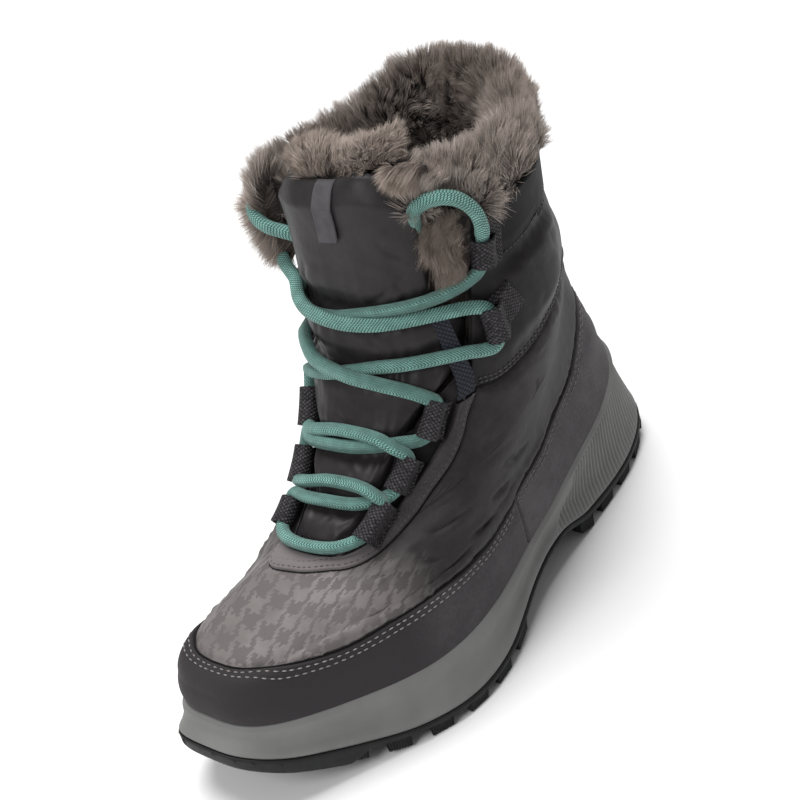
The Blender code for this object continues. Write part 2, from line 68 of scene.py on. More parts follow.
SWING = np.array([(-140, -14), (-100, -7), (-60, 2), (-20, 5), (30, 4), (80, 1), (140, 0)])
# place along the boot, underside of the tread, of the rubber sheet and of the foam, cup floor, cup rim
SOLE = np.array([
    (-143, 27.0, 30.5, 33.0, 41, 46), (-125, 16.0, 20.0, 23.5, 34, 42), (-100, 5.0, 10.5, 14.0, 28, 37),
    (-76, 0.0, 5.0, 8.5, 23, 35), (-25, 0.0, 5.0, 8.0, 22, 35), (10, 8.5, 13.5, 16.0, 25, 36),
    (40, 10.0, 15.0, 17.5, 28, 38), (65, 0.0, 6.5, 10.0, 31, 41), (115, 0.0, 5.0, 8.0, 33, 47),
    (143, 5.0, 10.0, 13.0, 34, 62),
])
TREAD, SHEET, FOAM, FLOOR, RIM = 1, 2, 3, 4, 5
COLLAR_FOLD = 14.0         # how far the collar's inner front corner is turned out
FOLD_TURNS = (0.105, 0.150, 0.190, 0.320)
# how far the last is drawn in: above the heel by row, and at the toe box's inner side by turn
HEEL_TUCK = [(0.9, 0), (2, 2.4), (3.5, 3.8), (5, 6.0), (6, 5.4), (8, 4.0), (10.5, 4.6), (12.5, 3.2),
             (16, 2.5)]
TOE_TUCK = [(0.045, 0), (0.075, 1.0), (0.10, 3.0), (0.125, 6.0), (0.15, 6.6), (0.175, 3.5), (0.21, 0)]


def smooth(x):
    """0 below 0, 1 above 1, and an easy slope between."""
    x = np.clip(x, 0.0, 1.0)
    return x * x * (3 - 2 * x)


def curve_through(xs, ys, x):
    """The value at x of a smooth line through (xs, ys). ys has a number for each of xs, or an array
    shaped like x."""
    xs, ys, x = np.asarray(xs, float), np.asarray(ys, float), np.asarray(x, float)
    x = np.clip(x, xs[0], xs[-1])
    k = np.clip(np.searchsorted(xs, x, side="right") - 1, 0, len(xs) - 2)

    def value(i):
        return ys[i] if ys.ndim == 1 else np.take_along_axis(ys, i[None], 0)[0]

    def slope(i):
        a, b = np.maximum(i - 1, 0), np.minimum(i + 1, len(xs) - 1)
        return (value(b) - value(a)) / (xs[b] - xs[a])

    step = xs[k + 1] - xs[k]
    t = (x - xs[k]) / step
    return ((2 * t**3 - 3 * t**2 + 1) * value(k) + (t**3 - 2 * t**2 + t) * step * slope(k)
            + (3 * t**2 - 2 * t**3) * value(k + 1) + (t**3 - t**2) * step * slope(k + 1))


def along(table, x):
    """The value at x of a smooth line through a list of (x, value)."""
    return curve_through([row[0] for row in table], [row[1] for row in table], x)


def straight(xs, ys, x):
    return np.interp(x, xs, ys)


def columns(how, xs, table, x):
    """Every column of a table read at x, how being curve_through or straight."""
    return np.stack([how(xs, table[..., k], x) for k in range(table.shape[-1])], -1)


def sole_height(which, y):
    return np.maximum(0.0, curve_through(SOLE[:, 0], SOLE[:, which], y))


def plan_point(ring, turn, grow, bend):
    """x, y and z in millimetres of a point of a ring, offset outwards by grow."""
    front_y, front_z, back_y, back_z, toe, ball, waist, heel, nose, tail, lean = ring
    share = (1 - np.cos(2 * pi * turn)) / 2
    y = front_y - grow + (back_y - front_y + 2 * grow) * share
    z = front_z + (back_z - front_z) * share
    widths = np.stack(np.broadcast_arrays(toe, ball, waist, heel, turn)[:4])
    half = curve_through(STATIONS, widths, share) + grow
    side = np.sin(2 * pi * turn)
    x = np.sign(side) * half * np.abs(side) ** (nose + (tail - nose) * share)
    return CENTRE + x + bend * along(SWING, y) + lean, y, z


def upper_point(v, turn, grow=0.0):
    """Points of the upper's outer face in metres, by row and turn."""
    v, turn = np.broadcast_arrays(np.asarray(v, float), np.asarray(turn, float))
    rows = np.arange(len(RINGS))
    ring = [curve_through(rows, RINGS[:, k], v) for k in range(RINGS.shape[1])]
    inner = np.mod(-turn, 1.0)
    starts, full, fades, ends = FOLD_TURNS
    across = smooth((inner - starts) / (full - starts)) - smooth((inner - fades) / (ends - fades))
    grow = grow + COLLAR_FOLD * smooth((v - 11) / 2.2) * np.maximum(0, across)
    grow = grow - along(HEEL_TUCK, v) * smooth(((1 - np.cos(2 * pi * turn)) / 2 - 0.60) / 0.33)
    grow = grow - along(TOE_TUCK, inner) * smooth((v - 1) / 1.2) * (1 - smooth((v - 4.5) / 2.5))
    x, y, z = plan_point(ring, turn, grow, np.clip((10 - v) / 4, 0, 1))
    floor, rim = sole_height(FLOOR, y) + 0.35, sole_height(RIM, y) + 2
    own = RINGS[2, 1] + (RINGS[2, 3] - RINGS[2, 1]) * (y - RINGS[2, 0]) / (RINGS[2, 2] - RINGS[2, 0])
    z = np.where(v < 1, floor + (rim - floor) * v, np.where(v < 2, rim + (own - rim) * (v - 1), z))
    return np.stack([x, y, z], -1) * MM


def unit(vectors):
    return vectors / np.maximum(np.linalg.norm(vectors, axis=-1, keepdims=True), 1e-12)


ROW_STEP, TURNS = 0.04, 750          # the last is worked out once on a fine net, and read off between
net_rows = np.arange(-0.08, 15.9, ROW_STEP)
net = upper_point(net_rows[:, None], np.arange(TURNS)[None] / TURNS)
net_out = unit(np.cross(np.roll(net, -3, 1)[2:-2] - np.roll(net, 3, 1)[2:-2], net[4:] - net[:-4]))
net = net[2:-2]


def skin(v, turn, out=0.0):
    """Points `out` millimetres off the last, square to it, in metres."""
    v, turn, out = np.broadcast_arrays(*(np.asarray(x, float) for x in (v, turn, out)))
    row = np.clip(v / ROW_STEP, 0, len(net) - 1.001)
    column = np.mod(turn, 1.0) * TURNS
    i, j = row.astype(int), column.astype(int) % TURNS
    fr, fc = (row - i)[..., None], (column - np.floor(column))[..., None]
    k = (j + 1) % TURNS

    def read(table):
        here, beyond = (table[i, c] * (1 - fr) + table[i + 1, c] * fr for c in (j, k))
        return here * (1 - fc) + beyond * fc

    return read(net) + unit(read(net_out)) * out[..., None] * MM


# ---------------------------------------------------------------- camera
# It looks down on the boot's outer side from in front of the toe, and leans to its right.

CAMERA_AT = (0.5662, -0.5146, 0.6539)
CAMERA_FORWARD = (-0.59643, 0.55434, -0.58050)
CAMERA_UP = (-0.21212, 0.58865, 0.78006)
SENSOR, LENS = 36, 99


def into_scene(name, data):
    made = bpy.data.objects.new(name, data)
    bpy.context.scene.collection.objects.link(made)
    return made


camera = into_scene("camera", bpy.data.cameras.new("camera"))
forward, up = Vector(CAMERA_FORWARD).normalized(), Vector(CAMERA_UP)
right = forward.cross(up).normalized()
turned = Matrix((right, right.cross(forward), -forward)).transposed().to_4x4()
camera.matrix_world = Matrix.Translation(CAMERA_AT) @ turned
camera.data.sensor_width, camera.data.lens = SENSOR, LENS
bpy.context.scene.camera = camera

# ---------------------------------------------------------------- lace
# One round polyester lace, 6 mm thick, braided over a core. It runs across the throat's foot, up
# through five pairs of loops, and each end arches over the fur and drops behind the tongue.

LACE_RADIUS, LACE_FLAT, END_WIDE = 3.0, 2.7, 3.1      # under tension it is a little flattened
LACE_AROUND = 18            # faces round it
# (row, turn, height of its middle above the last) down the inner side, across, and up the outer side
LACE_ROUTE = [
    (13.15, -0.176, 5.6), (12.65, -0.176, 5.3), (12.25, -0.168, 5.5), (11.95, -0.140, 5.6),
    (11.72, -0.100, 5.8), (11.58, -0.060, 7.0), (11.53, -0.026, 8.8), (11.49, 0.004, 9.3),
    (11.49, 0.035, 7.4), (11.50, 0.070, 5.6), (11.45, 0.115, 5.0), (11.30, 0.155, 5.0), (11.05, 0.174, 5.2),
    (10.55, 0.181, 5.3), (10.10, 0.187, 5.2), (9.88, 0.183, 5.0), (9.97, 0.170, 4.8), (10.18, 0.148, 4.6),
    (10.36, 0.110, 4.5), (10.45, 0.070, 4.4), (10.44, 0.035, 4.2), (10.30, 0.006, 4.0),
    (10.05, -0.025, 4.4), (9.80, -0.065, 4.8), (9.50, -0.098, 5.0), (9.22, -0.116, 5.2),
    (8.70, -0.118, 5.3), (8.36, -0.112, 5.2), (8.20, -0.098, 5.0), (8.38, -0.072, 4.8), (8.66, -0.040, 4.8),
    (8.86, -0.008, 5.0), (8.90, 0.020, 5.6), (8.78, 0.047, 7.4), (8.54, 0.067, 8.6), (8.34, 0.082, 7.2),
    (8.12, 0.092, 5.6), (7.75, 0.095, 5.2), (7.42, 0.091, 4.8), (7.27, 0.080, 4.4), (7.29, 0.058, 4.2),
    (7.31, 0.030, 4.4), (7.28, -0.003, 4.6), (7.10, -0.040, 4.8), (6.86, -0.070, 5.0), (6.62, -0.084, 5.3),
    (6.25, -0.085, 5.2), (5.99, -0.078, 4.8), (5.97, -0.060, 4.6), (6.10, -0.030, 4.5), (6.17, 0.000, 4.5),
    (6.19, 0.035, 4.5), (6.20, 0.062, 4.7), (6.32, 0.080, 5.0), (6.65, 0.085, 5.3), (6.98, 0.084, 5.8),
    (7.20, 0.076, 7.6), (7.40, 0.064, 8.6), (7.62, 0.046, 7.4), (7.76, 0.022, 5.6), (7.72, -0.008, 5.0),
    (7.46, -0.042, 4.8), (7.12, -0.074, 4.9), (6.92, -0.092, 5.2), (7.10, -0.100, 5.3), (7.50, -0.098, 5.3),
    (7.90, -0.103, 5.2), (8.08, -0.094, 5.0), (8.24, -0.065, 4.7), (8.44, -0.030, 4.5), (8.58, 0.008, 4.4),
    (8.63, 0.042, 4.3), (8.58, 0.076, 4.2), (8.44, 0.104, 4.6), (8.55, 0.116, 5.1), (8.90, 0.118, 5.3),
    (9.25, 0.116, 5.3), (9.50, 0.102, 5.2), (9.82, 0.076, 5.4), (10.10, 0.040, 7.0), (10.24, 0.006, 8.8),
    (10.36, -0.030, 8.2), (10.44, -0.062, 6.2), (10.30, -0.105, 5.4), (9.98, -0.142, 5.3),
    (9.82, -0.168, 5.3), (10.05, -0.181, 5.3), (10.50, -0.178, 5.3), (10.95, -0.172, 5.2),
    (11.16, -0.155, 5.2), (11.30, -0.100, 5.0), (11.36, -0.050, 4.6), (11.46, -0.008, 4.1),
    (11.66, 0.020, 4.2), (11.78, 0.055, 4.6), (11.84, 0.095, 4.9), (11.94, 0.135, 5.1), (12.16, 0.163, 5.2),
    (12.50, 0.174, 5.3), (12.90, 0.176, 5.4), (13.20, 0.176, 5.6),
]
END_OUTER = [(13.20, 0.176, 5.6), (13.55, 0.175, 7.5), (14.00, 0.170, 8.5), (14.42, 0.158, 8.5),
             (14.62, 0.142, 8.0), (14.62, 0.126, 7.0), (14.45, 0.112, 5.0), (14.10, 0.105, 2.0),
             (13.70, 0.1045, -1.0), (13.30, 0.105, -4.0), (12.90, 0.107, -7.0)]
END_INNER = [(13.15, -0.176, 5.0), (13.38, -0.170, 4.2), (13.40, -0.160, 4.4), (13.24, -0.148, 4.6),
             (13.03, -0.136, 4.2), (12.84, -0.122, 2.6), (12.70, -0.110, 0.0), (12.60, -0.107, -4.0),
             (12.40, -0.109, -8.0)]


def length_along(points, axis):
    """How far each point of a net lies from its first row or column, in metres."""
    steps = np.linalg.norm(np.diff(points, axis=axis), axis=-1)
    start = np.zeros_like(np.take(steps, [0], axis))
    return np.concatenate([start, np.cumsum(steps, axis)], axis)


def cloth(name, across, up, lay, closed=False, two_ended=False):
    """A grid of across x up cells that lay(a, b) places, from the shares of the way across and up. Its UV
    map is in metres along and up the cloth. closed sews its sides together, and two_ended measures it
    from both sides."""
    form = bmesh.new()
    form.loops.layers.uv.new("UVMap")
    bmesh.ops.create_grid(form, x_segments=across, y_segments=up, size=0.5, calc_uvs=True)
    mesh = bpy.data.meshes.new(name)
    form.to_mesh(mesh)
    flat = np.zeros(len(mesh.vertices) * 3, np.float32)
    mesh.vertices.foreach_get("co", flat)
    grid = flat.reshape(-1, 3)[:, :2] + 0.5
    column, row = np.rint(grid[:, 0] * across).astype(int), np.rint(grid[:, 1] * up).astype(int)
    a, b = np.meshgrid(np.linspace(0, 1, across + 1), np.linspace(0, 1, up + 1))
    places = lay(a, b)
    mesh.vertices.foreach_set("co", places[row, column].astype(np.float32).ravel())
    u = length_along(places, 1)
    if two_ended:
        u = np.where(a > 0.5, u - u[:, -1:], u)
    uv = np.stack([u, length_along(places, 0)], -1)[row, column]
    corner = np.zeros(len(mesh.loops), np.int32)
    mesh.loops.foreach_get("vertex_index", corner)
    mesh.uv_layers["UVMap"].data.foreach_set("uv", uv[corner].astype(np.float32).ravel())
    if closed:
        form.clear()
        form.from_mesh(mesh)
        bmesh.ops.remove_doubles(form, verts=form.verts, dist=0.001 * MM)
        bmesh.ops.dissolve_degenerate(form, edges=form.edges, dist=0.001 * MM)
        form.to_mesh(mesh)
    form.free()
    return mesh


def piece(mesh, name, finish, slot, *replaced):
    """The finished mesh as a piece of the boot, with its material and what it stands for."""
    obj = into_scene(name, mesh)
    mesh.materials.append(finish)
    mesh.shade_smooth()
    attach(obj, "root")
    if replaced:
        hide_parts(*replaced)
    return obj


def evenly(points, step):
    """Points a step of metres apart on a smooth line through the given ones."""
    far = length_along(points, 0)
    line = columns(curve_through, far, points, np.linspace(0, far[-1], 12 * len(points)))
    far = length_along(line, 0)
    return columns(straight, far, line, np.linspace(0, far[-1], int(far[-1] / step) + 1))


def cord_mesh(name, line, wide, tall, around):
    """A cord round a line, a little flattened. u runs round it and v along it. Its ends are closed."""
    upward = np.zeros_like(line)
    ahead = unit(np.gradient(line, axis=0))
    now = np.cross(ahead[0], (0.3, 0.2, 0.9))
    for k, way in enumerate(ahead):
        now = now - way * now.dot(way)
        now = now / np.linalg.norm(now)
        upward[k] = now
    across = np.cross(ahead, upward)
    closing = np.ones(len(line) + 4)
    closing[:3] = closing[-1:-4:-1] = (0.0, 0.55, 0.88)
    place = np.clip(np.arange(len(line) + 4) - 2, 0, len(line) - 1)
    push = np.zeros(len(line) + 4)
    push[:3], push[-1:-4:-1] = (-0.3, -0.2, -0.08), (0.3, 0.2, 0.08)

    def lay(a, b):
        angle = -2 * pi * a
        k = np.rint(b * (len(place) - 1)).astype(int)
        radius = closing[k] * (1 + 0.035 * np.cos(6 * angle))
        p = place[k]
        return (line[p] + ahead[p] * (push[k] * wide)[..., None] * MM
                + across[p] * (np.cos(angle) * radius * wide)[..., None] * MM
                + upward[p] * (np.sin(angle) * radius * tall)[..., None] * MM)

    return cloth(name, around, len(place) - 1, lay, closed=True)


def hex_colour(code):
    """The linear colour of an sRGB hex code."""
    parts = [int(code[k:k + 2], 16) / 255 for k in (1, 3, 5)]
    return (*[c / 12.92 if c <= 0.04045 else ((c + 0.055) / 1.055) ** 2.4 for c in parts], 1.0)


def plug(made, **sockets):
    """Sets a node's sockets, named with _ for a space. Each takes a value, a hex colour or a link."""
    for key, value in sockets.items():
        name = key.rstrip("0123456789")
        found = [s for s in made.inputs if s.enabled and s.name.replace(" ", "_") == name]
        socket = found[int(key[len(name):] or 0)]
        if isinstance(value, bpy.types.NodeSocket):
            made.id_data.links.new(value, socket)
        else:
            socket.default_value = hex_colour(value) if isinstance(value, str) else value


def node(tree, kind, give=None, **given):
    """Adds a shader node and gives back its first output, or the one named. Names of settings are in
    small letters and names of sockets have capitals."""
    made = tree.nodes.new("ShaderNode" + kind)
    for key in [key for key in given if key[0].islower()]:
        setattr(made, key, given.pop(key))
    plug(made, **given)
    return made.outputs[give] if give else next(s for s in made.outputs if s.enabled)


def toned(tree, dark, light, value, low, high):
    """A colour that goes from dark to light as value goes from low to high."""
    share = node(tree, "MapRange", Value=value, From_Min=low, From_Max=high)
    return node(tree, "Mix", data_type="RGBA", A=dark, B=light, Factor=share)


def new_finish(name, roughness, **constants):
    """A material: returns it, its node tree, its shader and the place to draw patterns at."""
    made = bpy.data.materials.new(name)
    made.use_nodes = True
    shader = made.node_tree.nodes["Principled BSDF"]
    plug(shader, Roughness=roughness, **constants)
    return made, made.node_tree, shader, node(made.node_tree, "TexCoord", "Object")


def braided_polyester(name, light, dark, wide, long, sheen=0.12, dip=0.8, fleck=4.0, flecked=(0.86, 1.12)):
    """Polyester sheath braided in diamonds wide x long millimetres: soft sheen, darker where the yarns
    dive, which is painted shade in the braid's hollows, and its tone varying over fleck millimetres."""
    made, tree, shader, place = new_finish(name, 0.62, Specular_IOR_Level=0.25, Sheen_Weight=sheen,
                                           Sheen_Roughness=0.4)
    at = node(tree, "UVMap")
    x, y = (node(tree, "Math", operation="MULTIPLY", Value=node(tree, "SeparateXYZ", axis, Vector=at),
                 Value1=pi / (size * MM)) for axis, size in (("X", wide), ("Y", long)))
    one, two = (node(tree, "Math", operation="SINE",
                     Value=node(tree, "Math", operation=way, Value=x, Value1=y))
                for way in ("ADD", "SUBTRACT"))
    yarn = node(tree, "Math", operation="MULTIPLY", Value=one, Value1=two)
    yarn = node(tree, "Math", operation="ABSOLUTE", Value=yarn)
    worn = node(tree, "TexNoise", Vector=place, Scale=1 / (fleck * MM), Detail=3.0)
    worn = node(tree, "MapRange", Value=worn, From_Min=0.36, From_Max=0.64, To_Min=flecked[0],
                To_Max=flecked[1])
    # painted shade: the colour runs down to the dark one where the braid's yarns dive
    plug(shader, Normal=node(tree, "Bump", Height=yarn, Strength=0.75, Distance=0.5 * MM),
         Base_Color=node(tree, "HueSaturation", Color=toned(tree, dark, light, yarn, 0.0, dip), Value=worn))
    return made


lace_finish = braided_polyester("teal braided polyester", "#86b8ae", "#12302b", 2.0, 1.4)
lace_line = evenly(skin(*np.array(LACE_ROUTE).T), 0.9 * MM)
piece(cord_mesh("lace", lace_line, LACE_RADIUS, LACE_FLAT, LACE_AROUND), "lace", lace_finish, "lace",
      "lace_bar_1", *(f"lace_cross_{number}" for number in (2, 3, 4, 5)))
for side, route in (("outer", END_OUTER), ("inner", END_INNER)):
    line = evenly(skin(*np.array(route).T), 1.0 * MM)
    end = piece(cord_mesh("lace_end", line, END_WIDE, LACE_RADIUS, LACE_AROUND), f"lace_{side}_end",
                lace_finish, "lace", f"lace_end_{side}")
    long = round(float(length_along(line, 0)[-1]), 3)

# ---------------------------------------------------------------- upper shell
# The padded nylon that makes the vamp and quarters. It is cut in one, lined with fleece, quilted to its
# padding, and drawn in where the other panels are sewn over its edges, so that it puffs and puckers.

THROAT = [(5.85, 0.004), (5.93, 0.028), (6.1, 0.046), (6.5, 0.061), (7.2, 0.070), (8.0, 0.083),
          (8.8, 0.099), (9.2, 0.117), (9.6, 0.146), (10.2, 0.156), (11.5, 0.157), (13.5, 0.160)]
SHELL_LOW, SHELL_TOP = 0.8, 13.0
# seams, as (row, turn): the rand's top edge, the heel counter's front edge, the trim band's outer edge
# and the ankle cuff's low edge, on the outer side
RAND_EDGE = [(2.99, 0.0), (2.98, 0.022), (2.86, 0.054), (2.34, 0.094), (2.17, 0.118), (2.14, 0.138),
             (2.20, 0.160), (2.20, 0.188), (2.13, 0.209), (2.04, 0.236), (2.04, 0.262)]
COUNTER_EDGE = [(2.08, 0.266), (2.12, 0.280), (2.13, 0.292), (2.18, 0.305), (2.30, 0.317), (2.46, 0.330),
                (2.60, 0.345), (2.78, 0.365), (3.05, 0.380), (3.30, 0.397), (3.60, 0.415), (3.90, 0.438),
                (4.15, 0.465), (4.30, 0.5)]
TRIM_OUTER = [(8.62, -0.172), (8.26, -0.168), (7.60, -0.169), (6.95, -0.164), (6.42, -0.150),
              (5.78, -0.140), (5.28, -0.122), (5.10, -0.096), (5.18, -0.068), (5.36, -0.040),
              (5.54, -0.010), (5.66, 0.022), (5.62, 0.052), (5.40, 0.080), (5.18, 0.106), (5.26, 0.124),
              (5.76, 0.138), (6.42, 0.150), (6.95, 0.164), (7.60, 0.169), (8.26, 0.168), (8.62, 0.172)]
CUFF_EDGE = [(8.80, 0.176), (8.62, 0.190), (8.46, 0.205), (8.38, 0.220), (8.34, 0.236), (8.32, 0.252),
             (8.36, 0.268), (8.46, 0.283), (8.50, 0.300), (8.30, 0.330), (7.70, 0.365), (6.90, 0.40),
             (6.25, 0.44), (6.0, 0.5)]


def both_sides(edge):
    """A seam's points from the inner side's end, round the toe line or the heel, to the outer side's."""
    seam = np.array(edge)
    other = seam[::-1] * (1, -1)
    return np.concatenate([other, seam]) if abs(seam[0, 1]) > 0.01 else np.concatenate([other[:-1], seam])


def seam_line(edge, step=1.5, out=0.0):
    """The seam as points on the last, or out millimetres off it."""
    far = length_along(skin(edge[:, 0], edge[:, 1]), 0)
    fine = np.linspace(0, far[-1], int(far[-1] / (0.6 * MM)) + 2)
    line = skin(*columns(curve_through, far, edge, fine).T, out)
    far = length_along(line, 0)
    return columns(straight, far, line, np.linspace(0, far[-1], int(far[-1] / (step * MM)) + 2))


def nearest(places, line):
    """For each place: its distance to the line, and how far along the line that is, in millimetres."""
    flat = places.reshape(-1, 3)
    far = length_along(line, 0) / MM
    off, at = np.empty(len(flat)), np.empty(len(flat))
    for start in range(0, len(flat), 20000):
        part = flat[start:start + 20000]
        square = (part**2).sum(1)[:, None] + (line**2).sum(1)[None] - 2 * part @ line.T
        k = square.argmin(1)
        off[start:start + len(part)] = np.linalg.norm(part - line[k], axis=1) / MM
        at[start:start + len(part)] = far[k]
    return off.reshape(places.shape[:-1]), at.reshape(places.shape[:-1])


def uneven(x, seed):
    """A line of soft, unequal waves about 1 long, between -1 and 1."""
    rng = np.random.default_rng(seed)
    total = sum(np.sin(2 * pi * (x * f + p)) * w for f, p, w in zip(
        rng.uniform(0.55, 1.7, 6), rng.uniform(0, 1, 6), rng.uniform(0.5, 1, 6)))
    return total / 2.6


def ripple(places, size, seed=0):
    """Smooth noise over places in metres, size millimetres across, about -1 to 1."""
    flat = places.reshape(-1, 3) / (size * MM) + seed * 17.3
    return np.array([noise.noise(p) for p in flat.tolist()]).reshape(places.shape[:-1]) * 1.6


# creases that the hand can feel: from (row, turn), to (row, turn), width and depth in millimetres
CREASES = [
    (4.55, 0.152, 3.30, 0.196, 2.2, 1.43), (4.85, 0.160, 4.35, 0.205, 2.0, 1.17),
    (4.30, 0.130, 3.55, 0.160, 1.8, 1.04), (3.95, 0.112, 3.20, 0.134, 1.8, 0.91),
    (5.60, 0.160, 5.10, 0.215, 2.4, 0.27), (3.05, 0.190, 2.50, 0.215, 1.8, 1.3),
    (3.40, 0.215, 2.60, 0.238, 2.0, 1.3), (3.70, 0.240, 2.75, 0.262, 2.2, 1.43),
    (5.9, 0.200, 4.9, 0.262, 2.6, 0.24), (6.6, 0.185, 6.1, 0.235, 2.4, 0.21),
    (4.6, 0.235, 3.5, 0.285, 2.6, 1.3), (6.7, 0.255, 5.2, 0.305, 3.0, 0.3),
    (7.9, 0.240, 7.0, 0.290, 2.6, 0.24), (7.8, 0.290, 6.2, 0.345, 3.0, 0.33),
    (8.4, 0.325, 7.3, 0.372, 2.6, 0.27), (5.6, 0.320, 4.6, 0.352, 2.4, 0.27),
    (2.95, 0.150, 2.45, 0.160, 1.6, 1.04), (7.2, 0.180, 7.0, 0.215, 2.0, 0.15),
    (4.55, -0.150, 3.30, -0.190, 2.2, 1.43), (4.20, -0.120, 3.3, -0.145, 1.8, 1.04),
    (5.6, -0.165, 5.0, -0.220, 2.4, 0.27), (3.5, -0.215, 2.6, -0.240, 2.0, 1.3),
    (4.8, -0.235, 3.5, -0.285, 2.6, 1.3), (6.8, -0.250, 5.2, -0.300, 3.0, 0.3),
    (7.8, -0.290, 6.2, -0.340, 3.0, 0.33), (6.4, -0.190, 6.0, -0.240, 2.4, 0.21),
    (8.3, -0.330, 7.2, -0.372, 2.6, 0.27),
]


def crease(places, folds):
    """How far each place is pressed in by the folds that lie near it, with a soft swell beside each."""
    flat = places.reshape(-1, 3)
    total = np.zeros(len(flat))
    share = np.linspace(0, 1, 15)
    for v0, t0, v1, t1, wide, deep in folds:
        sway = 0.006 * np.sin(share * 5 + v0 * 3) * np.sign(t1)
        line = skin(v0 + (v1 - v0) * share, t0 + (t1 - t0) * share + sway)
        reach = np.linalg.norm(line[0] - line[-1]) / MM
        near = np.linalg.norm(flat - line[len(line) // 2], axis=1) < (reach / 2 + 5 * wide) * MM
        off, at = nearest(flat[near], evenly(line, 1.0 * MM))
        fade = np.sin(pi * np.clip(at / reach, 0.02, 0.98)) ** 0.6
        swell = 0.45 * np.exp(-(((off - wide * 1.3) / wide) ** 2))
        total[near] += deep * fade * (np.exp(-((off / wide * 2.2) ** 2)) - swell)
    return total.reshape(places.shape[:-1])


rand_line = seam_line(both_sides(RAND_EDGE))
counter_top = np.array(COUNTER_EDGE + [(v, 1 - t) for v, t in COUNTER_EDGE[-2::-1]])
counter_line, trim_line = seam_line(counter_top), seam_line(np.array(TRIM_OUTER))
cuff_lines = [seam_line(np.array(CUFF_EDGE) * (1, side)) for side in (1, -1)]
# each seam's lines, how far beside it the padding takes to rise, how much it puckers, and how deep the
# shell is drawn in beside it
SHELL_SEAMS = [([rand_line], 6.0, 1.0, 1.3), ([trim_line], 9.0, 0.7, 0.4), ([counter_line], 5.0, 0.5, 1.6),
               (cuff_lines, 8.0, 0.7, 1.4)]


def within(v, turn, ring):
    """Whether each (row, turn) lies inside a closed ring of them."""
    inside = np.zeros(v.shape, bool)
    for (v0, t0), (v1, t1) in zip(ring, np.roll(ring, -1, 0)):
        if t0 != t1:
            inside ^= ((t0 > turn) != (t1 > turn)) & (v < v0 + (v1 - v0) * (turn - t0) / (t1 - t0))
    return inside


def covered(v, turn):
    """Where the rand, the trim band, the counter and the cuff lie over the shell, as four masks."""
    signed = np.mod(turn + 0.5, 1) - 0.5
    t = np.abs(signed)
    rand, counter, cuff = (np.array(edge) for edge in (RAND_EDGE, COUNTER_EDGE, CUFF_EDGE))
    throat = np.array([*TRIM_OUTER, (14, 0.17), (14, -0.17)])
    return ((v < np.interp(t, rand[:, 1], rand[:, 0])) & (t < 0.266), within(v, signed, throat),
            (v < np.interp(t, counter[:, 1], counter[:, 0])) & (t >= 0.266),
            (v > np.interp(t, cuff[:, 1], cuff[:, 0])) & (t > 0.17))


def shell_swell(v, turn):
    """How far the padded shell stands off the last, in millimetres."""
    places = skin(v, turn)
    from_middle = np.abs(np.mod(turn + 0.5, 1) - 0.5)
    side = smooth((from_middle - 0.05) / 0.09)
    rise, waves, pinch = np.ones(v.shape), 0.0, 0.0
    for number, ((lines, reach, puckers, deep), mask) in enumerate(zip(SHELL_SEAMS, covered(v, turn))):
        edge = np.full(v.shape, np.inf)
        for line in lines:
            off, at = nearest(places, line)
            edge = np.minimum(edge, off)
            rise = np.minimum(rise, smooth(off / reach) ** 0.75)
            waves = waves + puckers * uneven(at / 7.5, number) * np.exp(-off / 7.0) * smooth(off / 1.5)
        pinch = np.maximum(pinch, deep * np.exp(-(edge / 1.4) ** 2) * ~mask)
        rise = np.where(mask, -smooth(edge / 1.5), rise)
    full = (0.5 + 1.5 * side) * (1 - 0.7 * smooth((from_middle - 0.32) / 0.10))
    soft = ripple(places, 24) * 0.45 + ripple(places, 11, 3) * 0.16
    loose = (0.32 + 0.34 * side) * waves + (0.8 * soft - crease(places, CREASES)) * side
    return 0.1 + np.where(rise > 0, full, 1.3) * rise - pinch + smooth(rise * 4) * loose


def shell_lay(a, b):
    v = SHELL_LOW + (SHELL_TOP - SHELL_LOW) * b
    half = np.where(v < THROAT[0][0], 0.0, along(THROAT, v))
    turn = half + a * (1 - 2 * half)
    swell = shell_swell(v[:, :-1], turn[:, :-1])
    swell = np.concatenate([swell, swell[:, :1]], 1)
    swell = np.where(v < THROAT[0][0], swell, swell * smooth(np.minimum(a, 1 - a) / 0.02))
    return skin(v, turn, swell)


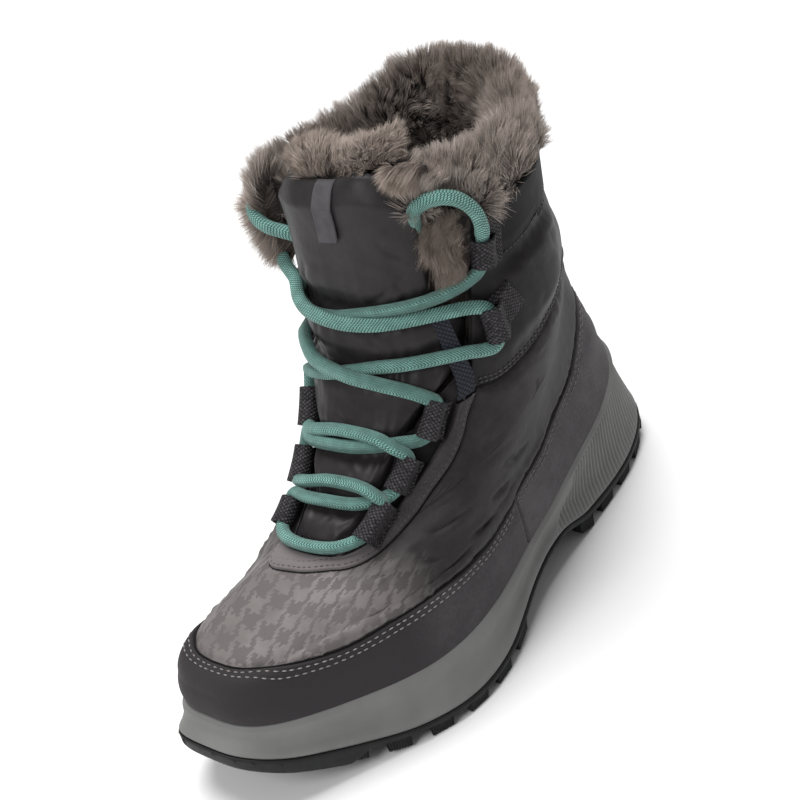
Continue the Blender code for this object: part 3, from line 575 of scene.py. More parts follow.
def printed_nylon():
    """Satin-faced nylon taffeta: fine weave, soft broad sheen, a tone-on-tone broken check that fades up
    the foot, drawn a little coarser than the 0.2 mm yarns."""
    made, tree, shader, place = new_finish("satin nylon taffeta", 0.5, Specular_IOR_Level=0.16,
                                           Sheen_Weight=0.04, Sheen_Roughness=0.45)
    yarn = 1.55 * MM                                   # an eighth of the check's repeat
    rough = node(tree, "TexNoise", "Color", Vector=place, Scale=1 / (2.0 * MM), Detail=4.0, Roughness=0.7)
    rough = node(tree, "VectorMath", operation="SUBTRACT", Vector=rough, Vector1=(0.5, 0.5, 0.5))
    rough = node(tree, "VectorMath", operation="SCALE", Vector=rough, Scale=2.3 * yarn)
    moved = node(tree, "VectorMath", operation="ADD", Vector=node(tree, "UVMap"), Vector1=rough)
    turned = node(tree, "Mapping", Vector=moved, Rotation=(0, 0, radians(20)),
                  Scale=(1 / yarn, 1 / yarn, 1))
    x, y = (node(tree, "Math", operation="FLOOR", Value=node(tree, "SeparateXYZ", axis, Vector=turned))
            for axis in "XY")
    stripes = []
    for count, repeat in ((x, 8), (y, 8), (node(tree, "Math", operation="ADD", Value=x, Value1=y), 4)):
        part = node(tree, "Math", operation="DIVIDE", Value=count, Value1=repeat)
        part = node(tree, "Math", operation="FRACT", Value=part)
        stripes.append(node(tree, "Math", operation="LESS_THAN", Value=part, Value1=0.49))
    check = node(tree, "Mix", data_type="FLOAT", Factor=stripes[2], A=stripes[0], B=stripes[1])
    on_toe = node(tree, "MapRange", Value=node(tree, "SeparateXYZ", "Y", Vector=place), From_Min=-0.046,
                  From_Max=-0.080)
    patchy = node(tree, "TexNoise", Vector=place, Scale=1 / (12 * MM), Detail=3.0)
    patchy = node(tree, "MapRange", Value=patchy, From_Min=0.3, From_Max=0.62, To_Min=0.25)
    printed = check
    for share in (on_toe, patchy):
        printed = node(tree, "Math", operation="MULTIPLY", Value=printed, Value1=share)
    mottle = node(tree, "TexNoise", Vector=place, Scale=1 / (9 * MM), Detail=5.0, Roughness=0.62)
    ground = toned(tree, "#282526", "#302d2e", mottle, 0.38, 0.66)
    # the ground pales towards the toe: partly the print's paler ground and partly painted light on the
    # up-facing toe
    ground = toned(tree, ground, "#666060", on_toe, 0.0, 1.25)
    weave = node(tree, "TexNoise", Vector=place, Scale=1 / (0.7 * MM), Detail=2.0)
    soft = node(tree, "TexNoise", Vector=place, Scale=1 / (6 * MM), Detail=3.0)
    fine = node(tree, "Bump", Height=weave, Strength=0.25, Distance=0.25 * MM)
    plug(shader, Base_Color=toned(tree, ground, "#716c6b", printed, 0.0, 1.0),
         Roughness=node(tree, "MapRange", Value=printed, To_Min=0.58, To_Max=0.42),
         Normal=node(tree, "Bump", Height=soft, Strength=0.35, Distance=1.0 * MM, Normal=fine))
    return made


shell_nylon = printed_nylon()
shell_mesh = cloth("shell", 320, 140, shell_lay, closed=True, two_ended=True)
piece(shell_mesh, "upper_shell", shell_nylon, "shell", "upper")


def lining_lay(a, b):
    v = 0.3 + 12.4 * b
    half = np.where(v < THROAT[0][0], 0.0, along(THROAT, v))
    return skin(v, (1 - half) - a * (1 - 2 * half), -4.0)


def fleece(name, light, dark):
    """Brushed polyester pile: matt, woolly, a few millimetres of clumping."""
    made, tree, shader, place = new_finish(name, 0.95, Specular_IOR_Level=0.15, Sheen_Weight=0.3,
                                           Sheen_Roughness=0.6)
    wool = node(tree, "TexNoise", Vector=place, Scale=1 / (2.5 * MM), Detail=5.0, Roughness=0.7)
    plug(shader, Base_Color=toned(tree, dark, light, wool, 0.3, 0.7),
         Normal=node(tree, "Bump", Height=wool, Strength=0.9, Distance=1.6 * MM))
    return made


dark_fleece = fleece("dark brown polyester fleece", "#4a403b", "#231d1b")
piece(cloth("lining", 110, 60, lining_lay, closed=True), "upper_lining", dark_fleece, "fur")

# ---------------------------------------------------------------- rand and heel counter
# Suede-faced microfibre: the rand wraps the toe and forefoot as a mudguard, and the counter cups the heel.
# Each is glued into the sole, and sewn to the shell with two rows of grey thread.


def crowd(x, count, cells, share):
    """Even shares pushed towards both ends, so that `cells` of `count` cells lie in each end's `share`."""
    return np.interp(x, [0, cells / count, 1 - cells / count, 1], [0, share, 1 - share, 1])


def raised(v, turn, height, sides="lrbt", roll=1.5, sink=-1.0, extra=0.0):
    """A panel laid on the last with its named sides (left, right, bottom, top) rolled down into it."""
    flat = skin(v, turn)
    wide, tall = length_along(flat, 1) / MM, length_along(flat, 0) / MM
    edge = np.full(v.shape, 1e3)
    for side, off in (("l", wide), ("r", wide[:, -1:] - wide), ("b", tall), ("t", tall[-1:] - tall)):
        if side in sides:
            edge = np.minimum(edge, off)
    rolled = np.sqrt(np.clip(1 - (1 - np.clip(edge / roll, 0, 1)) ** 2, 0, 1))
    return skin(v, turn, sink + (height + extra - sink) * rolled)


def grooved(off, rows, deep=0.3, wide=0.7):
    """How far rows of stitches, each so far from the seam, pull the cloth down off millimetres from it."""
    return sum(-deep * np.exp(-((off - row) / wide) ** 2) for row in rows)


def microfibre(name, light, dark, nap=1.4, on_toe=None):
    """Suede-faced microfibre: matt with a short nap, faintly mottled where it is brushed both ways.
    Towards the toe it turns to the colour on_toe, if given: painted light or painted shade there.
    """
    made, tree, shader, place = new_finish(name, 0.9, Specular_IOR_Level=0.15, Sheen_Weight=0.08,
                                           Sheen_Roughness=0.5)
    brushed = node(tree, "TexNoise", Vector=place, Scale=1 / (14 * MM), Detail=4.0, Roughness=0.6)
    grain = node(tree, "TexNoise", Vector=place, Scale=1 / (nap * MM), Detail=4.0, Roughness=0.7)
    both = node(tree, "Math", operation="ADD", Value=brushed, Value1=grain)
    tone = toned(tree, dark, light, both, 0.85, 1.15)
    # on_toe paints light at the toe where it is paler, and shade where it is darker
    if on_toe:
        tone = toned(tree, tone, on_toe, node(tree, "SeparateXYZ", "Y", Vector=place), -0.052, -0.07)
    plug(shader, Base_Color=tone, Normal=node(tree, "Bump", Height=grain, Strength=0.7, Distance=0.35 * MM))
    return made


def thread(name, code):
    """Bonded polyester thread, slightly glossy, with its twist too fine to show."""
    made, tree, shader, place = new_finish(name, 0.5, Sheen_Weight=0.2)
    shade = node(tree, "TexNoise", Vector=place, Scale=1 / (1.5 * MM))
    shade = node(tree, "MapRange", Value=shade, To_Min=0.75, To_Max=1.2)
    plug(shader, Base_Color=node(tree, "HueSaturation", Color=code, Value=shade))
    return made


def stitches(form, edge, out, pitch=3.4, long=2.4, thick=0.34, holes=False):
    """One row of stitches, or dark specks of painted shade for the needle holes between them, along a seam
    given as (row, turn).
    """
    edge = np.asarray(edge, float)
    line = seam_line(edge, 0.5, out)
    under = seam_line(edge, 0.5, out - 2.0)
    far = length_along(line, 0) / MM
    for at in np.arange(pitch if holes else pitch / 2, far[-1], pitch):
        k = min(int(np.searchsorted(far, at)), len(line) - 2)
        ahead = unit(line[k + 1] - line[k - 1])
        away = line[k] - under[min(int(k * len(under) / len(line)), len(under) - 1)]
        away = unit(away - ahead * away.dot(ahead))
        turn = Matrix((ahead, np.cross(away, ahead), away)).transposed().to_4x4()
        sizes = (0.42, thick * 1.1, 0.22) if holes else (long / 2, thick, thick)
        shape = Matrix.Translation(line[k]) @ turn @ Matrix.Diagonal([size * MM for size in sizes] + [1])
        bmesh.ops.create_icosphere(form, subdivisions=1, radius=1.0, matrix=shape)


def meshed(form, name):
    mesh = bpy.data.meshes.new(name)
    form.to_mesh(mesh)
    form.free()
    return mesh


def sewn(name, finish, rows, outs, **sizes):
    """Rows of stitches as one piece, all outs millimetres off the last or each its own."""
    form = bmesh.new()
    for row, out in zip(rows, np.broadcast_to(outs, len(rows))):
        stitches(form, row, float(out), **sizes)
    return piece(meshed(form, name), name, finish, "shell")


def beside(edge, off, steps=4):
    """The seam moved off millimetres to its left on the last's face, as many close (row, turn)."""
    edge = np.asarray(edge, float)
    far = length_along(skin(edge[:, 0], edge[:, 1]), 0)
    edge = columns(curve_through, far, edge, np.linspace(0, far[-1], 10 * len(edge)))
    v_step, turn_step = 0.06, 0.003
    for _ in range(steps):
        v, turn = edge.T
        up = (skin(v + v_step, turn) - skin(v - v_step, turn)) / (2 * v_step)
        around = (skin(v, turn + turn_step) - skin(v, turn - turn_step)) / (2 * turn_step)
        away = unit(np.cross(np.cross(around, up), np.gradient(skin(v, turn), axis=0))) * off * MM / steps
        uu, rr, ur = (up * up).sum(1), (around * around).sum(1), (up * around).sum(1)
        au, ar = (away * up).sum(1), (away * around).sum(1)
        edge = edge + np.stack([au * rr - ar * ur, ar * uu - au * ur], 1) / (uu * rr - ur**2)[:, None]
    return edge


# painted shade: the rand's colour darkens towards the toe (on_toe)
rand_suede = microfibre("dark grey suede microfibre", "#454244", "#3a3739", on_toe="#302d2f")
RAND_THICK = 1.0
STITCH_ROWS = (1.9, 4.3)     # how far from the seam each row of stitches runs
ROUND_MM = 330               # about how far it is round the boot
PANEL_LOW = 0.72             # the row where both panels go into the sole
rand_top = both_sides(RAND_EDGE)
rand_top = rand_top[np.argsort(rand_top[:, 1])]


def up_panel(b, top):
    """Rows from the sole up to a panel's top edge, closer together towards the edge."""
    return PANEL_LOW + (top - PANEL_LOW) * np.interp(b, [0, 0.8, 1], [0, 0.93, 1])


def rand_lay(a, b):
    turn = -0.268 + 0.536 * a
    v = up_panel(b, curve_through(rand_top[:, 1], rand_top[:, 0], turn))
    off = nearest(skin(v, turn), rand_line)[0]
    puffed = 0.35 * smooth((off - 5.5) / 5) + 0.12 * ripple(skin(v, turn), 16, 5)
    swell = grooved(off, STITCH_ROWS, 0.28) + puffed
    return raised(v, turn, RAND_THICK, "lrt", roll=1.1, sink=-1.2, extra=swell)


piece(cloth("rand", 300, 50, rand_lay), "rand", rand_suede, "shell")


def counter_lay(a, b):
    turn = 0.267 + 0.466 * crowd(a, 180, 6, 0.02)
    v = up_panel(b, np.interp(turn, counter_top[:, 1], counter_top[:, 0]))
    off = nearest(skin(v, turn), counter_line)[0]
    cup = 0.5 * smooth((off - 5.5) / 8) + 0.1 * ripple(skin(v, turn), 18, 8)
    back_seam = -0.8 * np.exp(-((turn - 0.5) * ROUND_MM) ** 2)
    swell = grooved(off, STITCH_ROWS, 0.28) + cup + back_seam
    return raised(v, turn, RAND_THICK + 0.1, "lrt", roll=1.1, sink=-1.2, extra=swell)


# painted light: the counter is a paler copy of the rand's suede, for the light the heel catches
lit_counter_suede = microfibre("grey suede microfibre", "#504d4f", "#434042")
piece(cloth("counter", 180, 50, counter_lay), "heel_counter", lit_counter_suede, "shell")
pale_thread = thread("light grey polyester thread", "#827c7b")
grey_thread = thread("grey polyester thread", "#6a6465")
# painted shade: near-black specks drawn in the needle holes between the stitches
painted_hole_shade = thread("shadowed needle holes", "#0b0a0a")
rand_rows, counter_rows = ([beside(top, -off) for off in STITCH_ROWS] for top in (rand_top, counter_top))


def shadow_line(name, seam, low=-1.5, high=0.3, out=0.2):
    """A narrow near-black strip along a seam, which paints the shade in the seam's crease."""
    inner, outer = beside(seam, low), beside(seam, high)
    share = np.linspace(0, 1, len(inner))

    def lay(a, b):
        low_side, high_side = (columns(straight, share, edge, a) for edge in (inner, outer))
        place = low_side * (1 - b[..., None]) + high_side * b[..., None]
        return skin(place[..., 0], place[..., 1], out)

    return piece(cloth(name, 3 * len(seam), 1, lay), name, seam_shade, "shell")


# painted shade: near-black strips laid along the seams, in their creases
seam_shade = microfibre("shadowed cut edge", "#0c0b0c", "#070607")
shadow_line("rand_cut_edge", rand_top, -0.2, 0.7)
shadow_line("counter_cut_edge", counter_top, -0.4, 1.3)
sewn("rand_stitches", pale_thread, rand_rows, RAND_THICK - 0.08)
sewn("counter_stitches", grey_thread, counter_rows, RAND_THICK)
sewn("needle_holes", painted_hole_shade, rand_rows + counter_rows, RAND_THICK - 0.12, holes=True)

# ---------------------------------------------------------------- throat trim and its gusset
# A band of the same microfibre finishes the throat. It is folded over the shell's edge and sewn down with
# two rows; inside it a dark gusset carries the lace loops down to the tongue's sides.

# the band's inner edge at each station of its outer one, from the inner side's top
TRIM_INNER = [(8.74, -0.150), (8.30, -0.149), (7.78, -0.143), (7.25, -0.129), (6.85, -0.117),
              (6.50, -0.108), (6.18, -0.099), (5.95, -0.084), (5.86, -0.060), (5.92, -0.034),
              (6.00, -0.010), (6.04, 0.018), (6.00, 0.044), (5.93, 0.068), (5.98, 0.088), (6.20, 0.099),
              (6.52, 0.107), (6.85, 0.117), (7.25, 0.129), (7.78, 0.143), (8.30, 0.149), (8.74, 0.150)]
trim = np.hstack([TRIM_INNER, TRIM_OUTER])
trim[[0, -1], 2] += 0.1            # its ends run on under the cuff
trim_far = length_along(skin(*(trim[:, :2] + trim[:, 2:]).T / 2), 0)
trim_far /= trim_far[-1]
TRIM_ROWS = (1.7, 4.6)


def trim_lay(a, b):
    edges = columns(curve_through, trim_far, trim, a)
    share = np.interp(b, [0, 0.25, 0.85, 1], [-0.12, 0.12, 0.92, 1])[..., None]
    v, turn = np.moveaxis(edges[..., :2] + (edges[..., 2:] - edges[..., :2]) * share, -1, 0)
    off = nearest(skin(v, turn), trim_line)[0]
    pads = 0.3 * smooth(off / 4) + 0.10 * ripple(skin(v, turn), 9, 2)
    swell = grooved(off, TRIM_ROWS, 0.22, 0.6) + pads
    return raised(v, turn, 1.5, "tb", roll=1.3, sink=-1.4, extra=swell)


# painted light: the binding turns much paler towards the toe (on_toe), where it faces up into the light
trim_suede = microfibre("grey suede microfibre binding", "#454142", "#3a3637", nap=1.0, on_toe="#6e6869")
piece(cloth("trim", 260, 26, lambda a, b: trim_lay(a, 1 - b)), "throat_trim", trim_suede, "shell")
trim_seam = np.array(TRIM_OUTER)
FINE_STITCH = {"pitch": 2.6, "long": 1.9, "thick": 0.36}
dark_thread = thread("dark grey polyester thread", "#3a3638")
shadow_line("trim_cut_edge", trim_seam, -0.4, 0.15)
sewn("trim_stitches", dark_thread, [beside(trim_seam, off) for off in TRIM_ROWS], 1.35, **FINE_STITCH)


def gusset_lay(a, b):
    v_in, t_in = np.moveaxis(columns(curve_through, trim_far, trim[:, :2], a), -1, 0)
    v_foot = 5.95 + (v_in - 5.95) * smooth((np.abs(a - 0.5) - 0.03) / 0.1)
    half = along(THROAT, np.maximum(v_foot, 5.9)) - 0.012
    t_foot = np.clip(t_in * 3, -half, half)
    share = np.interp(b, [0, 1], [-0.1, 1.25])
    v, turn = v_foot + (v_in - v_foot) * share, t_foot + (t_in - t_foot) * share
    return skin(v, turn, -1.6 + 1.2 * np.sin(pi * np.clip(b * 1.1, 0, 1)))


gusset_nylon = microfibre("black nylon gusset", "#1f1d1f", "#171517")
piece(cloth("gusset", 160, 14, lambda a, b: gusset_lay(a, 1 - b)), "throat_gusset", gusset_nylon, "shell")

# ---------------------------------------------------------------- ankle cuff and collar band
# The cuff is a padded panel of plain dark nylon that goes round the ankle from loop to loop. Above it, the
# collar band of smooth softshell holds the fur's edge. Both have turned-under, top-stitched edges.

BAND_EDGE = [(12.02, 0.160), (12.10, 0.186), (12.14, 0.203), (12.20, 0.222), (12.30, 0.240), (12.42, 0.262),
             (12.52, 0.285), (12.56, 0.33), (12.56, 0.42), (12.56, 0.50)]
FRONT = 0.158              # the half turn where the cuff starts, at the throat
BAND_FRONT, BAND_TOP = 0.156, 13.85
CUFF_ROWS, BAND_ROWS = (1.6, 3.4), (1.9,)


def round_back(edge):
    """A seam of the outer side, as (row, turn), carried on round the heel up the inner side."""
    return np.concatenate([edge, (edge * (1, -1) + (0, 1))[-2::-1]])


def round_ankle(a, front):
    """The turns from one side of the throat round to the other, closer together at both ends."""
    return front + (1 - 2 * front) * np.interp(a, [0, 0.03, 0.97, 1], [0, 0.008, 0.992, 1])


cuff_edge, band_edge = np.array([(8.92, FRONT), *CUFF_EDGE]), np.array([(12.02, BAND_FRONT), *BAND_EDGE])
cuff_seam, band_seam = round_back(cuff_edge), round_back(band_edge)
cuff_line, band_line = seam_line(cuff_seam), seam_line(band_seam)
CUFF_CREASES = [(11.9, 0.215, 10.9, 0.250, 3.0, 0.21), (11.6, 0.290, 10.2, 0.300, 3.4, 0.252),
                (10.6, 0.240, 9.4, 0.262, 3.0, 0.168), (11.9, 0.255, 11.2, 0.330, 3.0, 0.231),
                (9.8, 0.285, 9.1, 0.300, 2.4, 0.147), (11.2, 0.350, 10.6, 0.40, 3.0, 0.189),
                (11.9, -0.225, 10.9, -0.260, 3.0, 0.21), (11.4, -0.290, 10.2, -0.310, 3.4, 0.231),
                (10.4, -0.240, 9.4, -0.262, 3.0, 0.168)]


def cuff_lay(a, b):
    turn = round_ankle(a, FRONT)
    t = np.minimum(turn, 1 - turn)
    low = np.interp(t, cuff_edge[:, 1], cuff_edge[:, 0])
    top = np.interp(t, band_edge[:, 1], band_edge[:, 0]) + 0.15
    v = low + (top - low) * np.interp(b, [0, 0.12, 1], [0, 0.035, 1])
    places = skin(v, turn)
    off, at = nearest(places, cuff_line)
    under, at_band = nearest(places, band_line)
    puffs = (2.8 - 2.6 * smooth((t - 0.26) / 0.10)) * smooth((off - 3.5) / 12)
    puffs = puffs * smooth((under - 1) / 9) * smooth((t - 0.175) / 0.05)
    puffs = puffs - 1.6 * np.exp(-((under / 5.0) ** 2)) * smooth((t - 0.24) / 0.08)
    puckers = 0.3 * uneven(at_band / 9, 11) * np.exp(-under / 7)
    puckers = puckers + 0.3 * uneven(at / 8, 12) * np.exp(-np.abs(off - 5) / 5)
    soft = 0.4 * ripple(places, 22, 6) + 0.10 * ripple(places, 9, 7)
    swell = grooved(off, CUFF_ROWS) + puffs + (puckers + soft) * smooth((off - 3.5) / 5)
    return raised(v, turn, 1.3, "lrb", roll=1.3, sink=-1.2, extra=swell - crease(places, CUFF_CREASES))


def plain_nylon(name, light, dark, roughness=0.5):
    """Fine calendered nylon: soft satin sheen, dark, with faint pressing marks and a dense plain weave."""
    made, tree, shader, place = new_finish(name, roughness, Specular_IOR_Level=0.16, Sheen_Weight=0.03,
                                           Sheen_Roughness=0.4)
    mottle = node(tree, "TexNoise", Vector=place, Scale=1 / (11 * MM), Detail=5.0, Roughness=0.6)
    weave = node(tree, "TexNoise", Vector=place, Scale=1 / (0.7 * MM), Detail=2.0)
    soft = node(tree, "TexNoise", Vector=place, Scale=1 / (7 * MM), Detail=3.0)
    fine = node(tree, "Bump", Height=weave, Strength=0.2, Distance=0.25 * MM)
    plug(shader, Base_Color=toned(tree, dark, light, mottle, 0.35, 0.68),
         Normal=node(tree, "Bump", Height=soft, Strength=0.3, Distance=1.0 * MM, Normal=fine))
    return made


cuff_nylon = plain_nylon("dark satin nylon", "#232021", "#1a1819")
piece(cloth("cuff", 240, 80, cuff_lay), "ankle_cuff", cuff_nylon, "shell")
shadow_line("cuff_cut_edge", cuff_seam, -1.3, 0.4)
sewn("cuff_stitches", dark_thread, [beside(cuff_seam, off) for off in CUFF_ROWS], 1.4, **FINE_STITCH)


def band_lay(a, b):
    turn = round_ankle(a, BAND_FRONT)
    t = np.minimum(turn, 1 - turn)
    low = np.interp(t, band_edge[:, 1], band_edge[:, 0])
    v = low + (BAND_TOP - low) * np.interp(b, [0, 0.25, 0.8, 1], [0, 0.12, 0.85, 1])
    places = skin(v, turn)
    off = nearest(places, band_line)[0]
    lean = smooth((t - 0.22) / 0.10)
    swell = grooved(off, BAND_ROWS, 0.35) + (0.9 - 0.9 * lean) * smooth((off - 2.5) / 5)
    swell = swell + 0.3 * ripple(places, 20, 4)
    return raised(v, turn, 2.1 - 1.5 * lean, "lrbt", roll=1.8, sink=-1.2, extra=swell)


band_shell = plain_nylon("dark softshell", "#201e1f", "#191718", roughness=0.7)
piece(cloth("band", 280, 40, band_lay), "collar_band", band_shell, "shell")
shadow_line("band_cut_edge", band_seam, -1.4, 0.3, out=0.6)
# the band lies closer to the last at the back, so it is sewn in spans: from turn, to turn, and height
BAND_SPANS = [(0, 0.25, 2.15), (0.25, 0.30, 1.4), (0.30, 0.70, 0.6), (0.70, 0.75, 1.4), (0.75, 1, 2.15)]
band_row = beside(band_seam, *BAND_ROWS)
spans = [band_row[(band_row[:, 1] >= first) & (band_row[:, 1] < last)] for first, last, _ in BAND_SPANS]
sewn("band_stitches", dark_thread, spans, [span[2] for span in BAND_SPANS], pitch=2.6, long=1.9, thick=0.34)

# ---------------------------------------------------------------- tongue
# A padded nylon tongue, quilted in tiers that swell between the laces, with side wings sewn under the
# throat. A blank woven label is folded over its top edge on the inner side of the middle.

TONGUE_HALF = [(5.4, 0.060), (6.0, 0.088), (7.0, 0.104), (8.0, 0.118), (9.0, 0.140), (9.7, 0.174),
               (10.5, 0.174), (11.0, 0.150), (11.4, 0.128), (12.2, 0.114), (13.0, 0.110), (14.3, 0.110),
               (14.85, 0.100)]
QUILT_ROWS = [6.2, 7.28, 8.45, 10.30, 11.62]     # the rows sewn across, each under the laces
TONGUE_LOW, TONGUE_TOP = 5.4, 14.9
ROW_MM = 14.0                # about how far apart the last's rows lie at the throat
TONGUE_FRONT = 0.68          # the share of the way round it that is face, the rest being its back
# how much higher the top edge stands at a turn, in millimetres
TONGUE_LIFT = [(-0.12, 0), (-0.03, 0), (0.0, 2), (0.03, 7), (0.068, 9), (0.095, 9), (0.115, 7)]


def tongue_face(v, turn):
    """The quilted face's height above the last."""
    clear = along(THROAT, v) - np.abs(turn)
    rise = smooth((clear + 0.004) / 0.040) * smooth((v - 5.95) / 0.5)
    rows = [np.abs(v - row - 0.5 * turn * (row > 9)) * ROW_MM for row in QUILT_ROWS]
    tier = smooth(np.minimum.reduce(rows) / 8.0) ** 0.7
    puckers = sum(0.9 * uneven(turn * ROUND_MM / 7.0, 30 + number) * np.exp(-off / 5.0) * smooth(off / 2)
                  for number, off in enumerate(rows))
    places = skin(v, turn)
    soft = 0.45 * ripple(places, 20, 9) + 0.2 * ripple(places, 9, 10)
    crown = 1.5 * smooth((v - 11.7) / 0.8) * (1 - (turn / 0.1) ** 2)
    return -5.2 + (4.8 + 3.8 * tier + puckers + soft + crown) * rise


TONGUE_CREASES = [(12.4, 0.060, 11.75, 0.020, 3.0, 1.248), (12.0, 0.085, 11.7, 0.050, 2.4, 1.014),
                  (12.9, 0.070, 12.3, 0.075, 3.0, 0.936), (12.5, -0.040, 11.8, -0.050, 2.6, 0.78),
                  (13.6, 0.055, 13.0, 0.080, 3.0, 0.702), (11.3, 0.030, 10.7, 0.040, 2.4, 0.702),
                  (10.2, 0.055, 9.7, 0.060, 2.4, 0.702), (9.2, -0.010, 8.7, -0.004, 2.4, 0.702),
                  (8.1, 0.012, 7.7, 0.006, 2.0, 0.702), (7.1, 0.000, 6.7, -0.006, 2.0, 0.858),
                  (6.9, 0.030, 6.5, 0.036, 2.0, 0.624)]


def tongue_lay(a, b):
    share = np.interp(b, [0, 0.05, 0.95, 1], [0, 0.02, 0.975, 1])
    v = TONGUE_LOW + (TONGUE_TOP - TONGUE_LOW) * share
    front = a < TONGUE_FRONT
    s = np.where(front, -1 + 2 * a / TONGUE_FRONT, 1 - 2 * (a - TONGUE_FRONT) / (1 - TONGUE_FRONT))
    turn = along(TONGUE_HALF, v) * s * np.where(s < 0, 1 - 0.15 * smooth((v - 11.5) / 1.5), 1.0)
    lower = np.where(s < 0, 0.015, 0.024) * (turn / 0.09) ** 2 * smooth((v - 13.3) / 1.5)
    v = v * (1 - lower)              # its top corners are rounded
    closing = np.sqrt(np.clip(np.minimum(share / 0.02, (1 - share) / 0.055), 0, 1))
    rim = np.sqrt(np.clip((1 - np.abs(s)) / 0.05, 0, 1))
    clear = smooth((along(THROAT, v) - np.abs(turn)) / 0.02)
    face = tongue_face(v, turn) - crease(skin(v, turn), TONGUE_CREASES) * clear
    back = np.interp(v, [TONGUE_LOW, 8, 12, 13.5, 14.4, TONGUE_TOP], [-10, -12, -12, -10.5, -9.0, -6.5])
    middle = (np.where(face > -5, -5.2, face) + back) / 2 + 2.2 * smooth((v - 12) / 1.5)
    out = middle + np.where(front, (face - middle) * np.maximum(rim, 0.05), (back - middle) * rim) * closing
    place = skin(v, turn, out)
    place[..., 2] += along(TONGUE_LIFT, turn) * smooth((v - 13) / 1.9) * MM
    return place


tongue_nylon = plain_nylon("dark quilted satin nylon", "#2f2c2d", "#272425", roughness=0.42)
tongue = piece(cloth("tongue", 150, 160, tongue_lay, closed=True), "tongue_pad", tongue_nylon, "shell",
               "tongue")

LABEL_TURN, LABEL_LOW, LABEL_WIDE = 0.0025, 13.50, 0.0135


def label_lay(a, b):
    """A ribbon from its folded lower end up over the tongue's top edge."""
    v = LABEL_LOW + 0.10 * (a - 0.5) * (1 - b) + (TONGUE_TOP - LABEL_LOW) * b
    turn = LABEL_TURN + (a - 0.5) * LABEL_WIDE
    share = (v - TONGUE_LOW) / (TONGUE_TOP - TONGUE_LOW)
    across = TONGUE_FRONT / 2 * (1 + turn / along(TONGUE_HALF, v))
    under = tongue_lay(across, np.interp(share, [0, 0.02, 0.975, 1], [0, 0.05, 0.95, 1]))
    return under + unit(skin(v, turn, 1.0) - skin(v, turn)) * (0.8 + 0.8 * (1 - b) ** 2)[..., None] * MM


def thickened(obj, thick):
    wall = obj.modifiers.new("thickness", "SOLIDIFY")
    wall.thickness, wall.offset = thick * MM, 0
    return obj


ribbon = braided_polyester("grey woven satin ribbon", "#5f5c5f", "#444144", 0.7, 0.7, sheen=0.02)
thickened(piece(cloth("label", 12, 30, label_lay), "tongue_label", ribbon, "webbing"), 1.0)

# ---------------------------------------------------------------- loops and webbing
# Speckled polyester webbing, about 11 mm wide, is folded over the lace at each loop and sewn down beside
# the throat. Webbing patches reinforce the upper two pairs, and a strip of blue-grey mesh runs to them.

WEB_THICK = 1.3
# each loop's lower and upper mouth, as (row, turn), on the outer side
LOOPS = [((6.12, 0.080), (7.12, 0.082)), ((7.34, 0.089), (8.12, 0.095)), ((8.38, 0.114), (9.28, 0.118)),
         ((10.06, 0.187), (11.14, 0.175)), ((12.32, 0.174), (13.12, 0.176))]
INNER_LOOPS = [((5.84, -0.079), (6.46, -0.085)), ((6.74, -0.097), (7.62, -0.099)),
               ((8.02, -0.107), (8.84, -0.113)), ((9.98, -0.184), (11.02, -0.174)),
               ((12.20, -0.172), (13.05, -0.176))]
HOLE_TALL, HOLE_AT = 3.5, 5.2          # half the hole's height, and its middle's height above the last
TAIL_SHARE, TURN_SHARE = 0.30, 0.92    # where along the webbing its tail ends, and where it has gone round
FIRST, LAST = 0.42 * pi, 1.62 * pi     # the angles round the lace between them


def loop_lay(low, high, tail, tail_out, hole_wide):
    """Webbing that comes from the last at its tail, goes over the lace, round it and back beneath."""
    low, high = np.array(low), np.array(high)
    side = np.sign(low[1])
    wide, tall = hole_wide + WEB_THICK / 2, HOLE_TALL + WEB_THICK / 2

    def lay(a, b):
        v, turn = low[0] + (high[0] - low[0]) * b, low[1] + (high[1] - low[1]) * b
        here = skin(v, turn, HOLE_AT)
        ahead = unit(skin(*high, HOLE_AT) - skin(*low, HOLE_AT))
        away = unit(np.cross(ahead, unit(skin(v, turn, HOLE_AT + 1) - here))) * side
        lift = np.cross(away, ahead) * side
        angle = np.interp(a, [TAIL_SHARE, TURN_SHARE], [FIRST, LAST])
        t = np.clip(a / TAIL_SHARE, 0, 1)
        foot = tail_out - HOLE_AT
        x = np.where(a < TAIL_SHARE, tail + (cos(FIRST) * wide - tail) * t, np.cos(angle) * wide)
        rising = foot + (sin(FIRST) * tall - foot) * smooth(t * 1.05) + 0.4 * np.sin(pi * t)
        z = np.where(a < TAIL_SHARE, rising, np.sin(angle) * tall)
        t = np.clip((a - TURN_SHARE) / (1 - TURN_SHARE), 0, 1)
        x, z = x + t * 5.0, z - t * 0.2
        pinch = 1 + 0.05 * np.cos(2 * pi * b)
        return here + away * (x * pinch)[..., None] * MM + lift * z[..., None] * MM

    return lay


webbing = braided_polyester("speckled polyester webbing", "#3c393c", "#090809", 2.0, 1.7, sheen=0.02,
                            dip=1.0, fleck=1.1, flecked=(0.25, 2.0))
